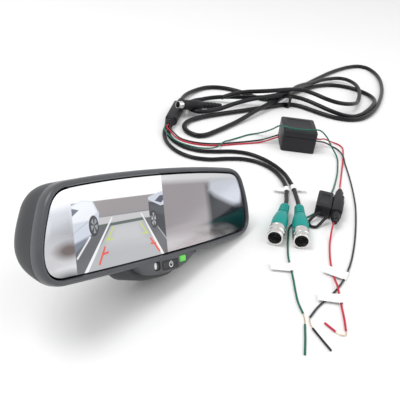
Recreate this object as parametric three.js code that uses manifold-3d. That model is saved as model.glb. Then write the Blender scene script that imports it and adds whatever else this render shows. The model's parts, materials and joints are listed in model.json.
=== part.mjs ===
// Clip-on rear-view mirror monitor with its wiring harness, laid out on a table.
// Millimetres, +Z up. The mirror leans back on its windshield mount, and the harness lies behind it.
// Origin: under the middle of the mirror and its mount, on the surface they stand on.

import * as THREE from 'three';
import { mergeVertices } from 'three/addons/utils/BufferGeometryUtils.js';
import Module from 'manifold-3d';

const wasm = await Module();
wasm.setup();

// ---------- driving dimensions ----------

const DEG = Math.PI / 180;
const GAP = 0.3;              // air kept between two pieces that touch on the real object

const LEAN = 25.8 * DEG;      // the mirror's top leans back
const ROLL = 17 * DEG;      // its right end drops until chin and lower corner both touch

const LIP = 5.4;              // width of the bezel's front lip around the glass
const GLASS_THICK = 3;
const BEZEL_FRONT = 1.8;      // crest of the lip, in front of the glass
const PARTING = -8;           // joint between bezel and rear shell
const SHELL_WALL = 2.4;
const BACK = -36;             // the shell's flat back
const CHIN_BACK = -32;
const RIM_POINTS = 48;        // points around the mirror's outline

// The shell shrinks about the middle of the glass as it goes back, and its foot rises towards its top.
const GLASS_MIDDLE = 9;
const HALF_WIDE = 120;
const HALF_HIGH = 32;
const ARCH_TOP = 46;
const ARCH_HIGH = 75;
const SHELL_LIFT = 0.42;      // rise of the foot for each millimetre of depth

const SCREWS = [[-82, 20], [82, 20], [-82, -2], [82, -2]];
const SCREW_HEAD = -35.7;     // back face of a screw's head
const SOCKET = { x: 46, y: 12, r: 7 };
const SOCKET_DEEP = -22;      // inner end of the socket

// Windows in the chin: left, bottom, right and top edges, and corner radius.
const BUTTON = [-10, -34.4, 10.2, -27.2, 1.5];
const STATUS = [12.2, -31.8, 21.4, -25.8, 1];
const SENSOR = [-19.6, -33.4, -12, -26.4, 2.2];
const WINDOW_DEEP = -7.6;     // back of the parts that fill them

const DISPLAY = { x: -48, y: 7.8, wide: 96, high: 53.6 };
const BALL = { r: 8, x: 0, y: 12, z: -45.5 };   // head ball, in the mirror's own frame
const ARM_LENGTH = 46;        // ball centre to ball centre
const FOOT_BALL_Z = 17.5;     // height of the lower ball over the mount's face

const PLASTIC = { color: 0x35373a, roughness: 0.55, metalness: 0 };
const BEZEL = { color: 0x4b4d50, roughness: 0.45, metalness: 0 };
const BLACK = { color: 0x17181a, roughness: 0.5, metalness: 0 };
const RUBBER = { color: 0x202123, roughness: 0.7, metalness: 0 };
const STEEL = { color: 0xb9bdc2, roughness: 0.3, metalness: 1 };
const CIRCUIT = { color: 0x1f5a38, roughness: 0.6, metalness: 0 };
const TEAL = { color: 0x12826f, roughness: 0.45, metalness: 0 };
const LABEL = { color: 0xf2f2ef, roughness: 0.6, metalness: 0 };
const COPPER = { color: 0xc58a5a, roughness: 0.4, metalness: 1 };
const MIRROR = { color: 0xa9adb3, roughness: 0.05, metalness: 1 };
const SCREEN = { color: 0xd8dde2, roughness: 0.3, metalness: 0 };
const LIT_GREEN = { color: 0x2fc04a, roughness: 0.2, metalness: 0 };
const SMOKED = { color: 0x101114, roughness: 0.1, metalness: 0 };
const AMBER = { color: 0xd08a28, roughness: 0.3, metalness: 0 };
const RED = { color: 0xb3202c, roughness: 0.4, metalness: 0 };
const GREEN = { color: 0x0d6a4a, roughness: 0.4, metalness: 0 };

// ---------- tools ----------

// A closed geometry as a solid that can be cut and joined.
function solid(geometry) {
  const flat = geometry.index ? geometry.toNonIndexed() : geometry.clone();
  for (const name of Object.keys(flat.attributes)) {
    if (name !== 'position') flat.deleteAttribute(name);
  }
  const bare = mergeVertices(flat, 1e-3);
  const corners = bare.index.array;
  const kept = [];
  for (let i = 0; i < corners.length; i += 3) {
    const [a, b, c] = [corners[i], corners[i + 1], corners[i + 2]];
    if (a !== b && b !== c && c !== a) kept.push(a, b, c);
  }
  return new wasm.Manifold(new wasm.Mesh({
    numProp: 3,
    vertProperties: new Float32Array(bare.attributes.position.array),
    triVerts: new Uint32Array(kept),
  }));
}

// A solid back as a geometry with flat faces.
function shown(body) {
  const mesh = body.getMesh();
  const geometry = new THREE.BufferGeometry();
  geometry.setAttribute('position', new THREE.BufferAttribute(new Float32Array(mesh.vertProperties), 3));
  geometry.setIndex(new THREE.BufferAttribute(new Uint32Array(mesh.triVerts), 1));
  const flat = geometry.toNonIndexed();
  flat.computeVertexNormals();
  return flat;
}

const cut = (body, ...tools) => shown(tools.reduce((left, tool) => left.subtract(solid(tool)), solid(body)));
const join = (...bodies) => shown(bodies.map(solid).reduce((sum, body) => sum.add(body)));

function named(name, geometry, finish, parent) {
  const mesh = new THREE.Mesh(geometry, new THREE.MeshStandardMaterial(finish));
  mesh.name = name;
  parent.add(mesh);
  return mesh;
}

const box = (wide, deep, high, x, y, z) => new THREE.BoxGeometry(wide, deep, high).translate(x, y, z);

// A round bar along Z, from z0 to z1.
function bar(radius, z0, z1, x = 0, y = 0, sides = 24, radiusEnd = radius) {
  return new THREE.CylinderGeometry(radiusEnd, radius, z1 - z0, sides)
    .rotateX(Math.PI / 2).translate(x, y, (z0 + z1) / 2);
}

const ball = (radius, x, y, z, sides = 16) =>
  new THREE.SphereGeometry(radius, sides, sides / 2).rotateX(Math.PI / 2).translate(x, y, z);

// A profile of [radius, z] points turned around the Z axis.
function turned(profile, sides = 32) {
  return new THREE.LatheGeometry(profile.map(([r, z]) => new THREE.Vector2(r, z)), sides).rotateX(Math.PI / 2);
}

// A flat shape pushed from z0 to z1, with an optional rounded edge.
function slab(shape, z0, z1, round = 0, curveSegments = 6) {
  return new THREE.ExtrudeGeometry(shape, {
    depth: z1 - z0 - 2 * round, curveSegments,
    bevelEnabled: round > 0, bevelThickness: round, bevelSize: round, bevelOffset: -round, bevelSegments: 1,
  }).translate(0, 0, z0 + round);
}

function roundedBox(x0, y0, x1, y1, r) {
  const shape = new THREE.Shape();
  shape.moveTo(x0 + r, y0);
  shape.lineTo(x1 - r, y0).absarc(x1 - r, y0 + r, r, -Math.PI / 2, 0);
  shape.lineTo(x1, y1 - r).absarc(x1 - r, y1 - r, r, 0, Math.PI / 2);
  shape.lineTo(x0 + r, y1).absarc(x0 + r, y1 - r, r, Math.PI / 2, Math.PI);
  shape.lineTo(x0, y0 + r).absarc(x0 + r, y0 + r, r, Math.PI, Math.PI * 1.5);
  return shape;
}

// Skins loops of equal length into a solid. An open stack is capped at both ends; a closed one is a ring.
function loft(loops, closed = false) {
  const count = loops[0].length;
  const points = [];
  const quads = closed ? loops.length : loops.length - 1;
  const triangle = (a, b, c) => points.push(a, b, c);
  for (let i = 0; i < quads; i++) {
    const low = loops[i];
    const high = loops[(i + 1) % loops.length];
    for (let j = 0; j < count; j++) {
      const k = (j + 1) % count;
      triangle(low[j], low[k], high[k]);
      triangle(low[j], high[k], high[j]);
    }
  }
  if (!closed) {
    const cap = (loop, flip) => {
      const flat = loop.map((p) => new THREE.Vector2(p.x, p.y));
      for (const [a, b, c] of THREE.ShapeUtils.triangulateShape(flat, [])) {
        if (flip) triangle(loop[a], loop[c], loop[b]);
        else triangle(loop[a], loop[b], loop[c]);
      }
    };
    cap(loops[0], true);
    cap(loops[loops.length - 1], false);
  }
  return new THREE.BufferGeometry().setFromPoints(points);
}

// ---------- the mirror's outline ----------

// Edge of the glass: a long shallow arch on top, a nearly straight foot, and a narrower right end.
const glassShape = new THREE.Shape();
glassShape.moveTo(-106, -22.3);
glassShape.bezierCurveTo(-40, -22.9, 50, -21, 105, -16.7);
glassShape.bezierCurveTo(113, -16, 118, -13, 119, -5);
glassShape.bezierCurveTo(119.8, 6, 117, 17, 113, 27);
glassShape.bezierCurveTo(110.5, 33, 106, 35.6, 98, 36.8);
glassShape.bezierCurveTo(45, 41.6, -45, 41.2, -97, 35.8);
glassShape.bezierCurveTo(-105, 35, -110.5, 31.5, -114, 23.5);
glassShape.bezierCurveTo(-118, 13, -122.3, 1, -121.7, -9);
glassShape.bezierCurveTo(-121, -18.5, -115, -22.3, -106, -22.3);
const glassRim = glassShape.getSpacedPoints(RIM_POINTS).slice(0, RIM_POINTS);

// The glass edge moved outwards, or shrunk about its middle, at a height z. Lift raises its lower side.
function rim(outwards, z, lift = 0) {
  const grow = Math.max(outwards, 0);
  const shrink = Math.min(outwards, 0);
  return glassRim.map((point, i) => {
    const before = glassRim[(i + RIM_POINTS - 1) % RIM_POINTS];
    const after = glassRim[(i + 1) % RIM_POINTS];
    const along = after.clone().sub(before).normalize();
    const x = (point.x + along.y * grow) * (1 + shrink / HALF_WIDE);
    const y = GLASS_MIDDLE + (point.y - along.x * grow - GLASS_MIDDLE) * (1 + shrink / HALF_HIGH);
    const fromTop = (ARCH_TOP - y) / ARCH_HIGH;
    return new THREE.Vector3(x, y + lift * fromTop, z);
  });
}

// The chin under the glass, which holds the button.
function chinShape(grow) {
  const shape = new THREE.Shape();
  shape.moveTo(-42 - grow, -22);
  shape.bezierCurveTo(-36 - grow, -27, -33 - grow, -33.5 - grow, -25, -35.4 - grow);
  shape.bezierCurveTo(-14, -36.8 - grow, -4, -36.9 - grow, 6, -36.3 - grow);
  shape.bezierCurveTo(20, -35 - grow, 25 + grow, -30, 34 + grow, -26.5);
  shape.lineTo(36 + grow, -22);
  return shape;
}

// ---------- mirror head ----------

const mirror = new THREE.Group();      // everything that belongs to the mirror and its mount
const lean = new THREE.Group();
const roll = new THREE.Group();
const head = new THREE.Group();        // the head's own frame: x right, y up, z out of the glass
lean.rotation.x = -LEAN;
roll.rotation.y = ROLL;
head.rotation.x = Math.PI / 2;
mirror.add(lean);
lean.add(roll);
roll.add(head);

function makeBezel() {
  const front = BEZEL_FRONT;
  const frame = loft([
    rim(LIP, PARTING + GAP), rim(LIP, -1.5), rim(LIP - 0.7, 0.6), rim(LIP - 2, front), rim(1.8, front - 0.4),
    rim(0.6, 0.4), rim(GAP, -0.6), rim(GAP, PARTING + GAP),
  ], true);
  const chin = cut(slab(chinShape(0), PARTING + GAP, 1.2, 1, 8), loft([rim(GAP, -20), rim(GAP, 20)]));
  const windows = [BUTTON, STATUS, SENSOR].map((window) => slab(roundedBox(...window), -12, 8, 0, 2));
  named('front_bezel', cut(join(frame, chin), ...windows), BEZEL, head);
}

function makeShell() {
  const steps = [[5, PARTING], [4.5, -15], [2.6, -22], [-0.8, -28], [-6, -33], [-13, BACK]];
  const lift = (z) => SHELL_LIFT * (PARTING - z);
  const floor = BACK + SHELL_WALL;
  const outsideLoops = steps.map(([out, z]) => rim(out, z, lift(z)));
  const insideLoops = steps.map(([out, z]) => rim(out - SHELL_WALL, Math.max(z, floor), lift(z)));
  const mouth = rim(5 - SHELL_WALL, PARTING + 1);
  const outside = solid(loft(outsideLoops.reverse()));
  const inside = solid(loft([...insideLoops.reverse(), mouth]));

  const chin = solid(slab(chinShape(4.4), CHIN_BACK, PARTING, 1.2, 8));
  const chinHollow = solid(slab(chinShape(2), CHIN_BACK + SHELL_WALL, PARTING + 2, 0, 8));
  const skin = outside.add(chin).subtract(inside.add(chinHollow));

  const bosses = SCREWS.map(([x, y]) => bar(3.6, BACK + 1, -20.5, x, y, 12));
  const pillars = solid(join(...bosses)).intersect(outside);
  const shafts = SCREWS.map(([x, y]) => bar(1.9, BACK - 1, -18, x, y, 10));
  const counterbores = SCREWS.map(([x, y]) => bar(3.6, BACK - 1, -34.2, x, y, 12));
  const socketHole = bar(SOCKET.r + GAP, BACK - 2, -20, SOCKET.x, SOCKET.y, 24);
  const holes = [...shafts, ...counterbores, socketHole];
  const holed = holes.reduce((left, tool) => left.subtract(solid(tool)), skin.add(pillars));
  named('rear_shell', shown(holed), PLASTIC, head);
}

function makeInside() {
  named('mirror_glass', loft([rim(0, -GLASS_THICK), rim(0, 0)]), MIRROR, head);
  const { x, y, wide, high } = DISPLAY;
  const back = -GLASS_THICK - GAP;
  named('display_panel', box(wide, high, 2.6, x, y, back - 1.3), SCREEN, head);
  const pan = box(wide + 2, high + 1.6, 5.4, x, y, back - 2.7);
  const seat = box(wide + 2 * GAP, high + 2 * GAP, 8, x, y, back + 1.1);
  named('backlight_tray', cut(pan, seat), STEEL, head);
  named('main_board', box(150, 34, 1.6, 4, 9, -14), CIRCUIT, head);
  named('button_board', box(38, 9, 1.6, 1, -28.6, -11), CIRCUIT, head);
}

// Fills a window of the chin, with a gap all round, up to a height in front of the glass.
function makeWindowPart(name, [x0, y0, x1, y1, r], front, finish) {
  const shape = roundedBox(x0 + GAP, y0 + GAP, x1 - GAP, y1 - GAP, r - GAP / 3);
  named(name, slab(shape, WINDOW_DEEP, front, 0.5, 2), finish, head);
}

function makeControls() {
  makeWindowPart('power_button', BUTTON, 1.9, BLACK);
  makeWindowPart('status_window', STATUS, 1.4, LIT_GREEN);
  makeWindowPart('sensor_window', SENSOR, 1.4, SMOKED);
}

function makeScrews() {
  SCREWS.forEach(([x, y], i) => {
    const body = join(bar(1.5, SCREW_HEAD + 0.3, -22, x, y, 10), bar(3.2, SCREW_HEAD, -34.6, x, y, 12));
    const cross = [box(3.6, 0.9, 1.2, x, y, SCREW_HEAD - 0.1), box(0.9, 3.6, 1.2, x, y, SCREW_HEAD - 0.1)];
    named(`shell_screw_${i + 1}`, cut(body, join(...cross)), STEEL, head);
  });
}

function makeSocket() {
  const { x, y, r } = SOCKET;
  const bore = 5.2;
  const rimZ = -37.2;
  const floor = SOCKET_DEEP - 2;
  const profile = [[0, floor], [bore, floor], [bore, rimZ], [r, rimZ], [r, SOCKET_DEEP], [0, SOCKET_DEEP]];
  named('mirror_socket', turned(profile, 24).translate(x, y, 0), BLACK, head);
  const pins = [0, 1, 2, 3, 4, 5, 6].map((i) => {
    const turn = (i - 3) * 44 * DEG - Math.PI / 2;
    return bar(0.45, -40, -26, x + 3.2 * Math.cos(turn), y + 3.2 * Math.sin(turn), 6);
  });
  named('socket_insert', cut(bar(bore - GAP, -30, floor - GAP, x, y, 24), ...pins), BLACK, head);
}

// ---------- mount ----------

function makeCup() {
  const { r, x, y, z } = BALL;
  const seat = BACK - GAP;
  const outside = turned([
    [0, z - 5], [11.2, z - 5], [12.6, z - 3.4], [13, BACK - 3], [15.4, BACK - 2.6], [15.4, seat], [0, seat],
  ], 24);
  const hollow = ball(r + 0.4, 0, 0, z);
  const mouth = bar(11, z - 12, z - 3, 0, 0, 20, 6.6);
  named('pivot_cup', cut(outside, hollow, mouth).translate(x, y, 0), PLASTIC, head);
}

// Arm and foot are placed in the row's frame, from the head ball to the surface.
function makeMount(at) {
  const drop = Math.asin((at.z - FOOT_BALL_Z) / ARM_LENGTH);
  const arm = join(
    ball(BALL.r, 0, 0, 0), bar(4, 0, ARM_LENGTH, 0, 0, 12), bar(6.2, 17, 29, 0, 0, 6),
    ball(BALL.r, 0, 0, ARM_LENGTH),
  );
  const armMesh = named('mount_arm', arm, STEEL, mirror);
  armMesh.position.copy(at);
  armMesh.rotation.x = -Math.PI / 2 - drop;

  const plate = slab(roundedBox(-16, -24, 16, 27, 5), 0, 9, 1, 4);
  const boss = join(bar(13, 4, FOOT_BALL_Z, 0, 0, 20), ball(13, 0, 0, FOOT_BALL_Z));
  const dovetail = [[-8, -1], [8, -1], [10.4, 5.2], [-10.4, 5.2]].map(([x, y]) => new THREE.Vector2(x, y));
  const slot = slab(new THREE.Shape(dovetail), -32, 12).rotateX(Math.PI / 2);
  const mouth = bar(6.6, 3, 15, 0, 0, 20, 12.5).rotateX(Math.PI / 2 - drop).translate(0, 0, FOOT_BALL_Z);
  const screwHole = bar(2.4, 3, 12, 0, 19.5, 12);
  const foot = cut(join(plate, boss), ball(BALL.r + 0.4, 0, 0, FOOT_BALL_Z), mouth, slot, screwHole);
  const y = at.y + ARM_LENGTH * Math.cos(drop);
  named('windshield_foot', foot, PLASTIC, mirror).position.set(at.x, y, 0);
  const screw = cut(bar(2.1, 5.2, 9.4, 0, 19.5, 12), bar(1.1, 7.6, 12, 0, 19.5, 6));
  named('foot_screw', screw, STEEL, mirror).position.set(at.x, y, 0);
}

makeBezel();
makeShell();
makeInside();
makeControls();
makeScrews();
makeSocket();
makeCup();

// The head stands on its lowest point, and the whole mirror is centred over the origin.
mirror.updateMatrixWorld(true);
lean.position.z = -new THREE.Box3().setFromObject(lean, true).min.z;
mirror.updateMatrixWorld(true);
makeMount(head.localToWorld(new THREE.Vector3(BALL.x, BALL.y, BALL.z)));
const middle = new THREE.Box3().setFromObject(mirror, true).getCenter(new THREE.Vector3());
mirror.position.set(-middle.x, -middle.y, 0);

const group = new THREE.Group();
group.add(mirror);

// ---------- harness tools ----------

// A group at one point whose Z axis points at another, with X level.
function aimed(from, to) {
  const frame = new THREE.Group();
  frame.position.set(...from);
  const z = new THREE.Vector3(...to).sub(frame.position).normalize();
  const x = new THREE.Vector3(0, 0, 1).cross(z).normalize();
  const y = z.clone().cross(x);
  frame.quaternion.setFromRotationMatrix(new THREE.Matrix4().makeBasis(x, y, z));
  group.add(frame);
  return frame;
}

function disc(radius, sides) {
  const turns = Array.from({ length: sides }, (_, i) => 2 * Math.PI * i / sides);
  return new THREE.Shape(turns.map((turn) => new THREE.Vector2(radius * Math.cos(turn), radius * Math.sin(turn))));
}

const routeCurve = (points) =>
  new THREE.CatmullRomCurve3(points.map((p) => new THREE.Vector3(...p)), false, 'centripetal');

// A cable as a plain tube, with a step every three or four diameters.
function cable(name, diameter, points, finish) {
  const path = routeCurve(points);
  const thin = diameter < 4;
  const stepLong = (thin ? 4 : 3) * diameter;
  const steps = Math.min(80, Math.max(6, Math.round(path.getLength() / stepLong)));
  const geometry = new THREE.ExtrudeGeometry(disc(diameter / 2, thin ? 8 : 10), { steps, extrudePath: path });
  return named(name, geometry, finish, group);
}

// A wrapped label: a sleeve round the wire with a flat flag to one side.
function label(name, middle, direction, wireDiameter, sleeve, flag) {
  const [x, y, z] = middle;
  const turn = Math.atan2(direction[1], direction[0]);
  const inner = wireDiameter / 2 + 0.35;
  const outer = inner + 0.45;
  const side = Math.sign(flag.length);
  const long = Math.abs(flag.length);
  const ring = new THREE.CylinderGeometry(outer, outer, sleeve, 10).rotateZ(Math.PI / 2);
  const paper = box(sleeve, long, 0.5, 0, side * (outer - 0.3 + long / 2), flag.z - z);
  const bore = new THREE.CylinderGeometry(inner, inner, sleeve + 2, 10).rotateZ(Math.PI / 2);
  const mesh = named(name, cut(join(ring, paper), bore), LABEL, group);
  mesh.position.set(x, y, z);
  mesh.rotation.z = turn;
}

// ---------- harness sizes and places ----------

const MAIN_CABLE = 6;
const CAMERA_CABLE = 4.6;
const WIRE = 1.8;
const WIRE_Z = WIRE / 2 + 0.2;       // a wire's centre when it lies on the surface
const CAMERA_Z = CAMERA_CABLE / 2 + 0.15;

const JUNCTION = { from: [249, 123, 6.2], to: [333, 160, 6.2], half: [7.6, 5.6] };
const PLUG = { tip: [288, 137, 19.4], tail: [363, 115, 4.6] };
const CONNECTORS = [
  { neck: [170, -78, 8.4], front: [109.5, -96.5, 8.4] },
  { neck: [178.5, -90, 8.4], front: [123, -118, 8.4] },
];
const FILTER = { x: 336, y: -14, turn: -59 * DEG, wide: 42, deep: 46, high: 27, wall: 2, split: 19 };
const FUSE = { top: [245, -107.5, 8.4], bottom: [177, -128.5, 8.4], long: 33 };

// Outline of the hank: a short lobe by the plug, a tied waist, and a long lobe beyond it.
const HANK = {
  low: 1.4, high: 15,
  outline: [
    [252, 92], [256, 78], [276, 72], [330, 68], [385, 63], [432, 51], [458, 49.5], [456, 20], [447, -10], [462, -38],
    [490, -52], [530, -55], [580, -48], [640, -34], [690, -15], [733, 15], [745, 44], [735, 54], [685, 66],
    [613, 70], [516, 73], [462, 68.5], [436, 69.5], [400, 84], [322, 116], [288, 124], [262, 117],
  ],
};
const TIE = { x: 447, y: 59.5, wide: 9 };

// ---------- harness: junction, main cable, plug ----------

function makeJunction() {
  const frame = aimed(JUNCTION.from, JUNCTION.to);
  const long = Math.hypot(JUNCTION.to[0] - JUNCTION.from[0], JUNCTION.to[1] - JUNCTION.from[1]);
  const [halfWide, halfHigh] = JUNCTION.half;
  const block = slab(roundedBox(-halfWide, -halfHigh, halfWide, halfHigh, 3), 17, long - 17, 1.5, 2);
  const rings = [0, 1, 2].flatMap((i) => [
    bar(5 + 0.4 * i, 1 + 5.2 * i, 4.4 + 5.2 * i, 0, 0, 12),
    bar(4.4 + 0.5 * i, long - 4.4 - 5.2 * i, long - 1 - 5.2 * i, 0, 0, 12),
  ]);
  const cores = [bar(4.4, 0, 20, 0, 0, 10), bar(3.8, long - 20, long, 0, 0, 10)];
  named('junction_block', join(block, ...cores, ...rings), RUBBER, frame);
}

function makePlug() {
  const frame = aimed(PLUG.tip, PLUG.tail);
  const long = new THREE.Vector3(...PLUG.tip).distanceTo(new THREE.Vector3(...PLUG.tail));
  named('plug_shell', cut(bar(4.7, 0, 8, 0, 0, 16), bar(4.1, -1, 6, 0, 0, 16)), STEEL, frame);
  const pins = [0, 1, 2, 3, 4, 5].map((i) => {
    const turn = (i + 0.5) * 60 * DEG;
    return bar(0.45, 1, 4, 2.4 * Math.cos(turn), 2.4 * Math.sin(turn), 6);
  });
  named('plug_pins', join(bar(3.7, 3.4, 5.7, 0, 0, 16), ...pins), BLACK, frame);
  const grip = turned([[0, 8.3], [6, 8.3], [6.6, 10], [6.6, 36], [5.2, 44], [0, 44]], 14);
  const ribs = [0, 1, 2, 3].map((i) => bar(4.8 - 0.2 * i, 46 + 6.6 * i, 50 + 6.6 * i, 0, 0, 12));
  named('plug_grip', join(grip, bar(3.7, 42, long, 0, 0, 10), ...ribs), RUBBER, frame);
}

function makeMainCable() {
  cable('main_cable', MAIN_CABLE, [
    [333.4, 160.2, 6.2], [343, 164.5, 5], [355, 168.5, 3.4], [372, 171.5, 3.2], [392, 172.5, 3.2], [410, 170, 3.2],
    [424, 162, 3.2], [433, 150, 3.2], [438, 135, 3.2], [440, 118, 3.2], [440, 100, 3.4], [438.5, 86, 4.6],
    [437.5, 74, 6],
  ], RUBBER);
  cable('plug_cable', MAIN_CABLE, [
    [363.6, 114.8, 4.6], [373, 112, 3.7], [384, 107, 3.3], [394, 100.5, 3.3], [403, 93, 3.8], [407, 87.6, 4.6],
  ], RUBBER);
  const corners = HANK.outline.map(([x, y]) => new THREE.Vector3(x, y, 0));
  const curve = new THREE.CatmullRomCurve3(corners, true, 'centripetal');
  const rimPoints = curve.getPoints(90).slice(0, 90);
  const shape = new THREE.Shape(rimPoints.map((p) => new THREE.Vector2(p.x, p.y)));
  named('cable_hank', slab(shape, HANK.low, HANK.high), RUBBER, group);
  const tieBand = cut(
    box(TIE.wide, 24.5, 16.2, 0, 0, 8.4), box(TIE.wide + 2, 21.9, 14.2, 0, 0, 8.3),
  );
  const tie = named('cable_tie', tieBand, BLACK, group);
  tie.position.set(TIE.x, TIE.y, 0);
}

// ---------- harness: camera leads ----------

function makeConnector({ neck, front }, i) {
  const frame = aimed(neck, front);
  const grip = turned([
    [0, 0], [4.4, 0], [5, 6], [5.4, 17], [6.6, 21], [8.1, 32], [8.1, 46], [5.9, 46], [5.9, 50], [0, 50],
  ], 16);
  const grooves = [5, 9, 13].map((z) => cut(bar(8, z, z + 1.5, 0, 0, 10), bar(4.1, z - 1, z + 3, 0, 0, 10)));
  named(`connector_grip_${i}`, cut(grip, ...grooves), TEAL, frame);
  const ring = turned([
    [6.3, 46.4], [7.6, 46.4], [8.3, 47.4], [8.3, 56], [7.9, 56.8], [7.9, 63], [6.3, 63], [6.3, 46.4],
  ], 20);
  named(`connector_ring_${i}`, ring, STEEL, frame);
  const holes = [45, 135, 225, 315].map((turn) =>
    bar(0.7, 52, 56, 3.1 * Math.cos(turn * DEG), 3.1 * Math.sin(turn * DEG), 6));
  named(`connector_insert_${i}`, cut(bar(5.9, 50.3, 54, 0, 0, 16), ...holes), BLACK, frame);
}

function makeCameraLeads() {
  CONNECTORS.forEach((place, i) => makeConnector(place, i + 1));
  cable('camera_cable_1', CAMERA_CABLE, [
    [247.4, 125, 4.2], [239, 121.2, 3.6], [226, 112, CAMERA_Z], [212, 96, CAMERA_Z], [203.5, 76, CAMERA_Z],
    [204, 57, CAMERA_Z], [214, 40, CAMERA_Z], [231, 26, CAMERA_Z], [245, 11, CAMERA_Z], [250.5, -6, CAMERA_Z],
    [247, -25, CAMERA_Z], [236, -42, CAMERA_Z], [222, -54.5, 2.9], [211.5, -60.8, 3.4], [199, -66.5, 4.4],
    [185, -72.8, 6.8], [170.3, -77.9, 8.4],
  ], BLACK);
  cable('camera_cable_2', CAMERA_CABLE, [
    [249.6, 120.2, 4.2], [241, 116.2, 3.4], [231, 107, CAMERA_Z], [223.5, 94, CAMERA_Z], [220.5, 77, CAMERA_Z],
    [225, 60, CAMERA_Z], [238, 45, CAMERA_Z], [253, 31, CAMERA_Z], [262, 15, CAMERA_Z], [263, -3, CAMERA_Z],
    [258, -22, CAMERA_Z], [247, -41, CAMERA_Z], [233, -55, 2.9], [221, -64.8, 3.4], [207, -74, 4.4],
    [193, -82, 6.8], [178.8, -89.8, 8.4],
  ], BLACK);
  label('camera_label_1', [211.5, -60.8, 3.4], [-17, -9.5], CAMERA_CABLE, 8, { length: -11, z: 3.4 });
  label('camera_label_2', [221, -64.8, 3.4], [-18, -13], CAMERA_CABLE, 8, { length: 11, z: 3.4 });
}

// ---------- harness: noise filter box ----------

function makeFilter() {
  const { wide, deep, high, wall, split, x, y, turn } = FILTER;
  const outline = (inset) => {
    const halfWide = wide / 2 - inset;
    const halfDeep = deep / 2 - inset;
    return roundedBox(-halfWide, -halfDeep, halfWide, halfDeep, 3.5 - inset);
  };
  const frame = new THREE.Group();
  frame.position.set(x, y, 0);
  frame.rotation.z = turn;
  group.add(frame);
  const base = cut(slab(outline(0), 0, split, 1, 3), slab(outline(wall), wall, split + 5, 0, 3));
  named('filter_base', base, BLACK, frame);
  const lid = cut(slab(outline(0), split + GAP, high, 1, 3), slab(outline(wall), split - 3, high - wall, 0, 3));
  named('filter_lid', lid, BLACK, frame);
  named('filter_board', box(wide - 8, deep - 8, 1.6, 0, 0, 6), CIRCUIT, frame);
  const choke = cut(bar(9, 7.2, 15, 0, 4, 20), bar(4, 6, 17, 0, 4, 16));
  named('filter_choke', choke, COPPER, frame);
}

// ---------- harness: fuse holder ----------

function makeFuse() {
  const frame = aimed(FUSE.bottom, FUSE.top);
  const long = Math.hypot(FUSE.top[0] - FUSE.bottom[0], FUSE.top[1] - FUSE.bottom[1]);
  const start = (long - FUSE.long) / 2 - 1.5;
  const end = start + FUSE.long;
  const side = (x0, x1, halfHigh, z0, z1, round) =>
    slab(roundedBox(x0, -halfHigh, x1, halfHigh, Math.min(2, halfHigh - 0.2)), z0, z1, round, 2);
  // In this frame +X is the side that the cap sits on.
  const body = join(
    side(-6.5, 4.5, 5.8, start, end, 0.8), side(3.5, 8.5, 3.6, start + 3, end - 3, 0),
    bar(4.3, 6, start + 2, -1, 0, 14), bar(2.6, 0, 8, -1, 0, 12),
    bar(4.3, end - 2, long - 5, -1, 0, 14), bar(2.6, long - 8, long, -1, 0, 12),
  );
  const middle = (start + end) / 2;
  const slot = box(9, 1.6, 17, 6, 0, middle);
  named('fuse_body', cut(body, slot), RUBBER, frame);
  const hollow = side(0, 18.6, 4, start + 2.4, end - 2.4, 0);
  const cap = cut(side(4.9, 20.5, 5.9, start - 0.5, end + 0.5, 0.8), hollow);
  named('fuse_cap', cap, RUBBER, frame);
  const blades = [-5.4, 5.4].map((z) => box(6, 0.7, 4.6, 6.5, 0, middle + z));
  named('blade_fuse', join(box(9, 3.6, 18, 13.4, 0, middle), ...blades), AMBER, frame);
}

function makeTether() {
  cable('fuse_tether', 3, [
    [187.2, -109.6, 7.4], [182, -108, 6.4], [175, -106.2, 4], [168.4, -106.6, 2.2], [165, -110.5, 1.7],
    [167.2, -115, 1.7], [172, -116.4, 2.6], [178.5, -117.6, 5.4], [184.6, -119.3, 8],
  ], RUBBER);
}

// ---------- harness: wires ----------

// A stripped end: bare strand, then the slug of insulation left on its tip.
function strippedEnd(name, bare, slug) {
  const tube = (radius, points, steps) =>
    new THREE.ExtrudeGeometry(disc(radius, 6), { steps, extrudePath: routeCurve(points) });
  named(name, join(tube(0.5, [...bare, slug[0]], 4), tube(WIRE / 2, slug, 6)), COPPER, group);
}

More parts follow.
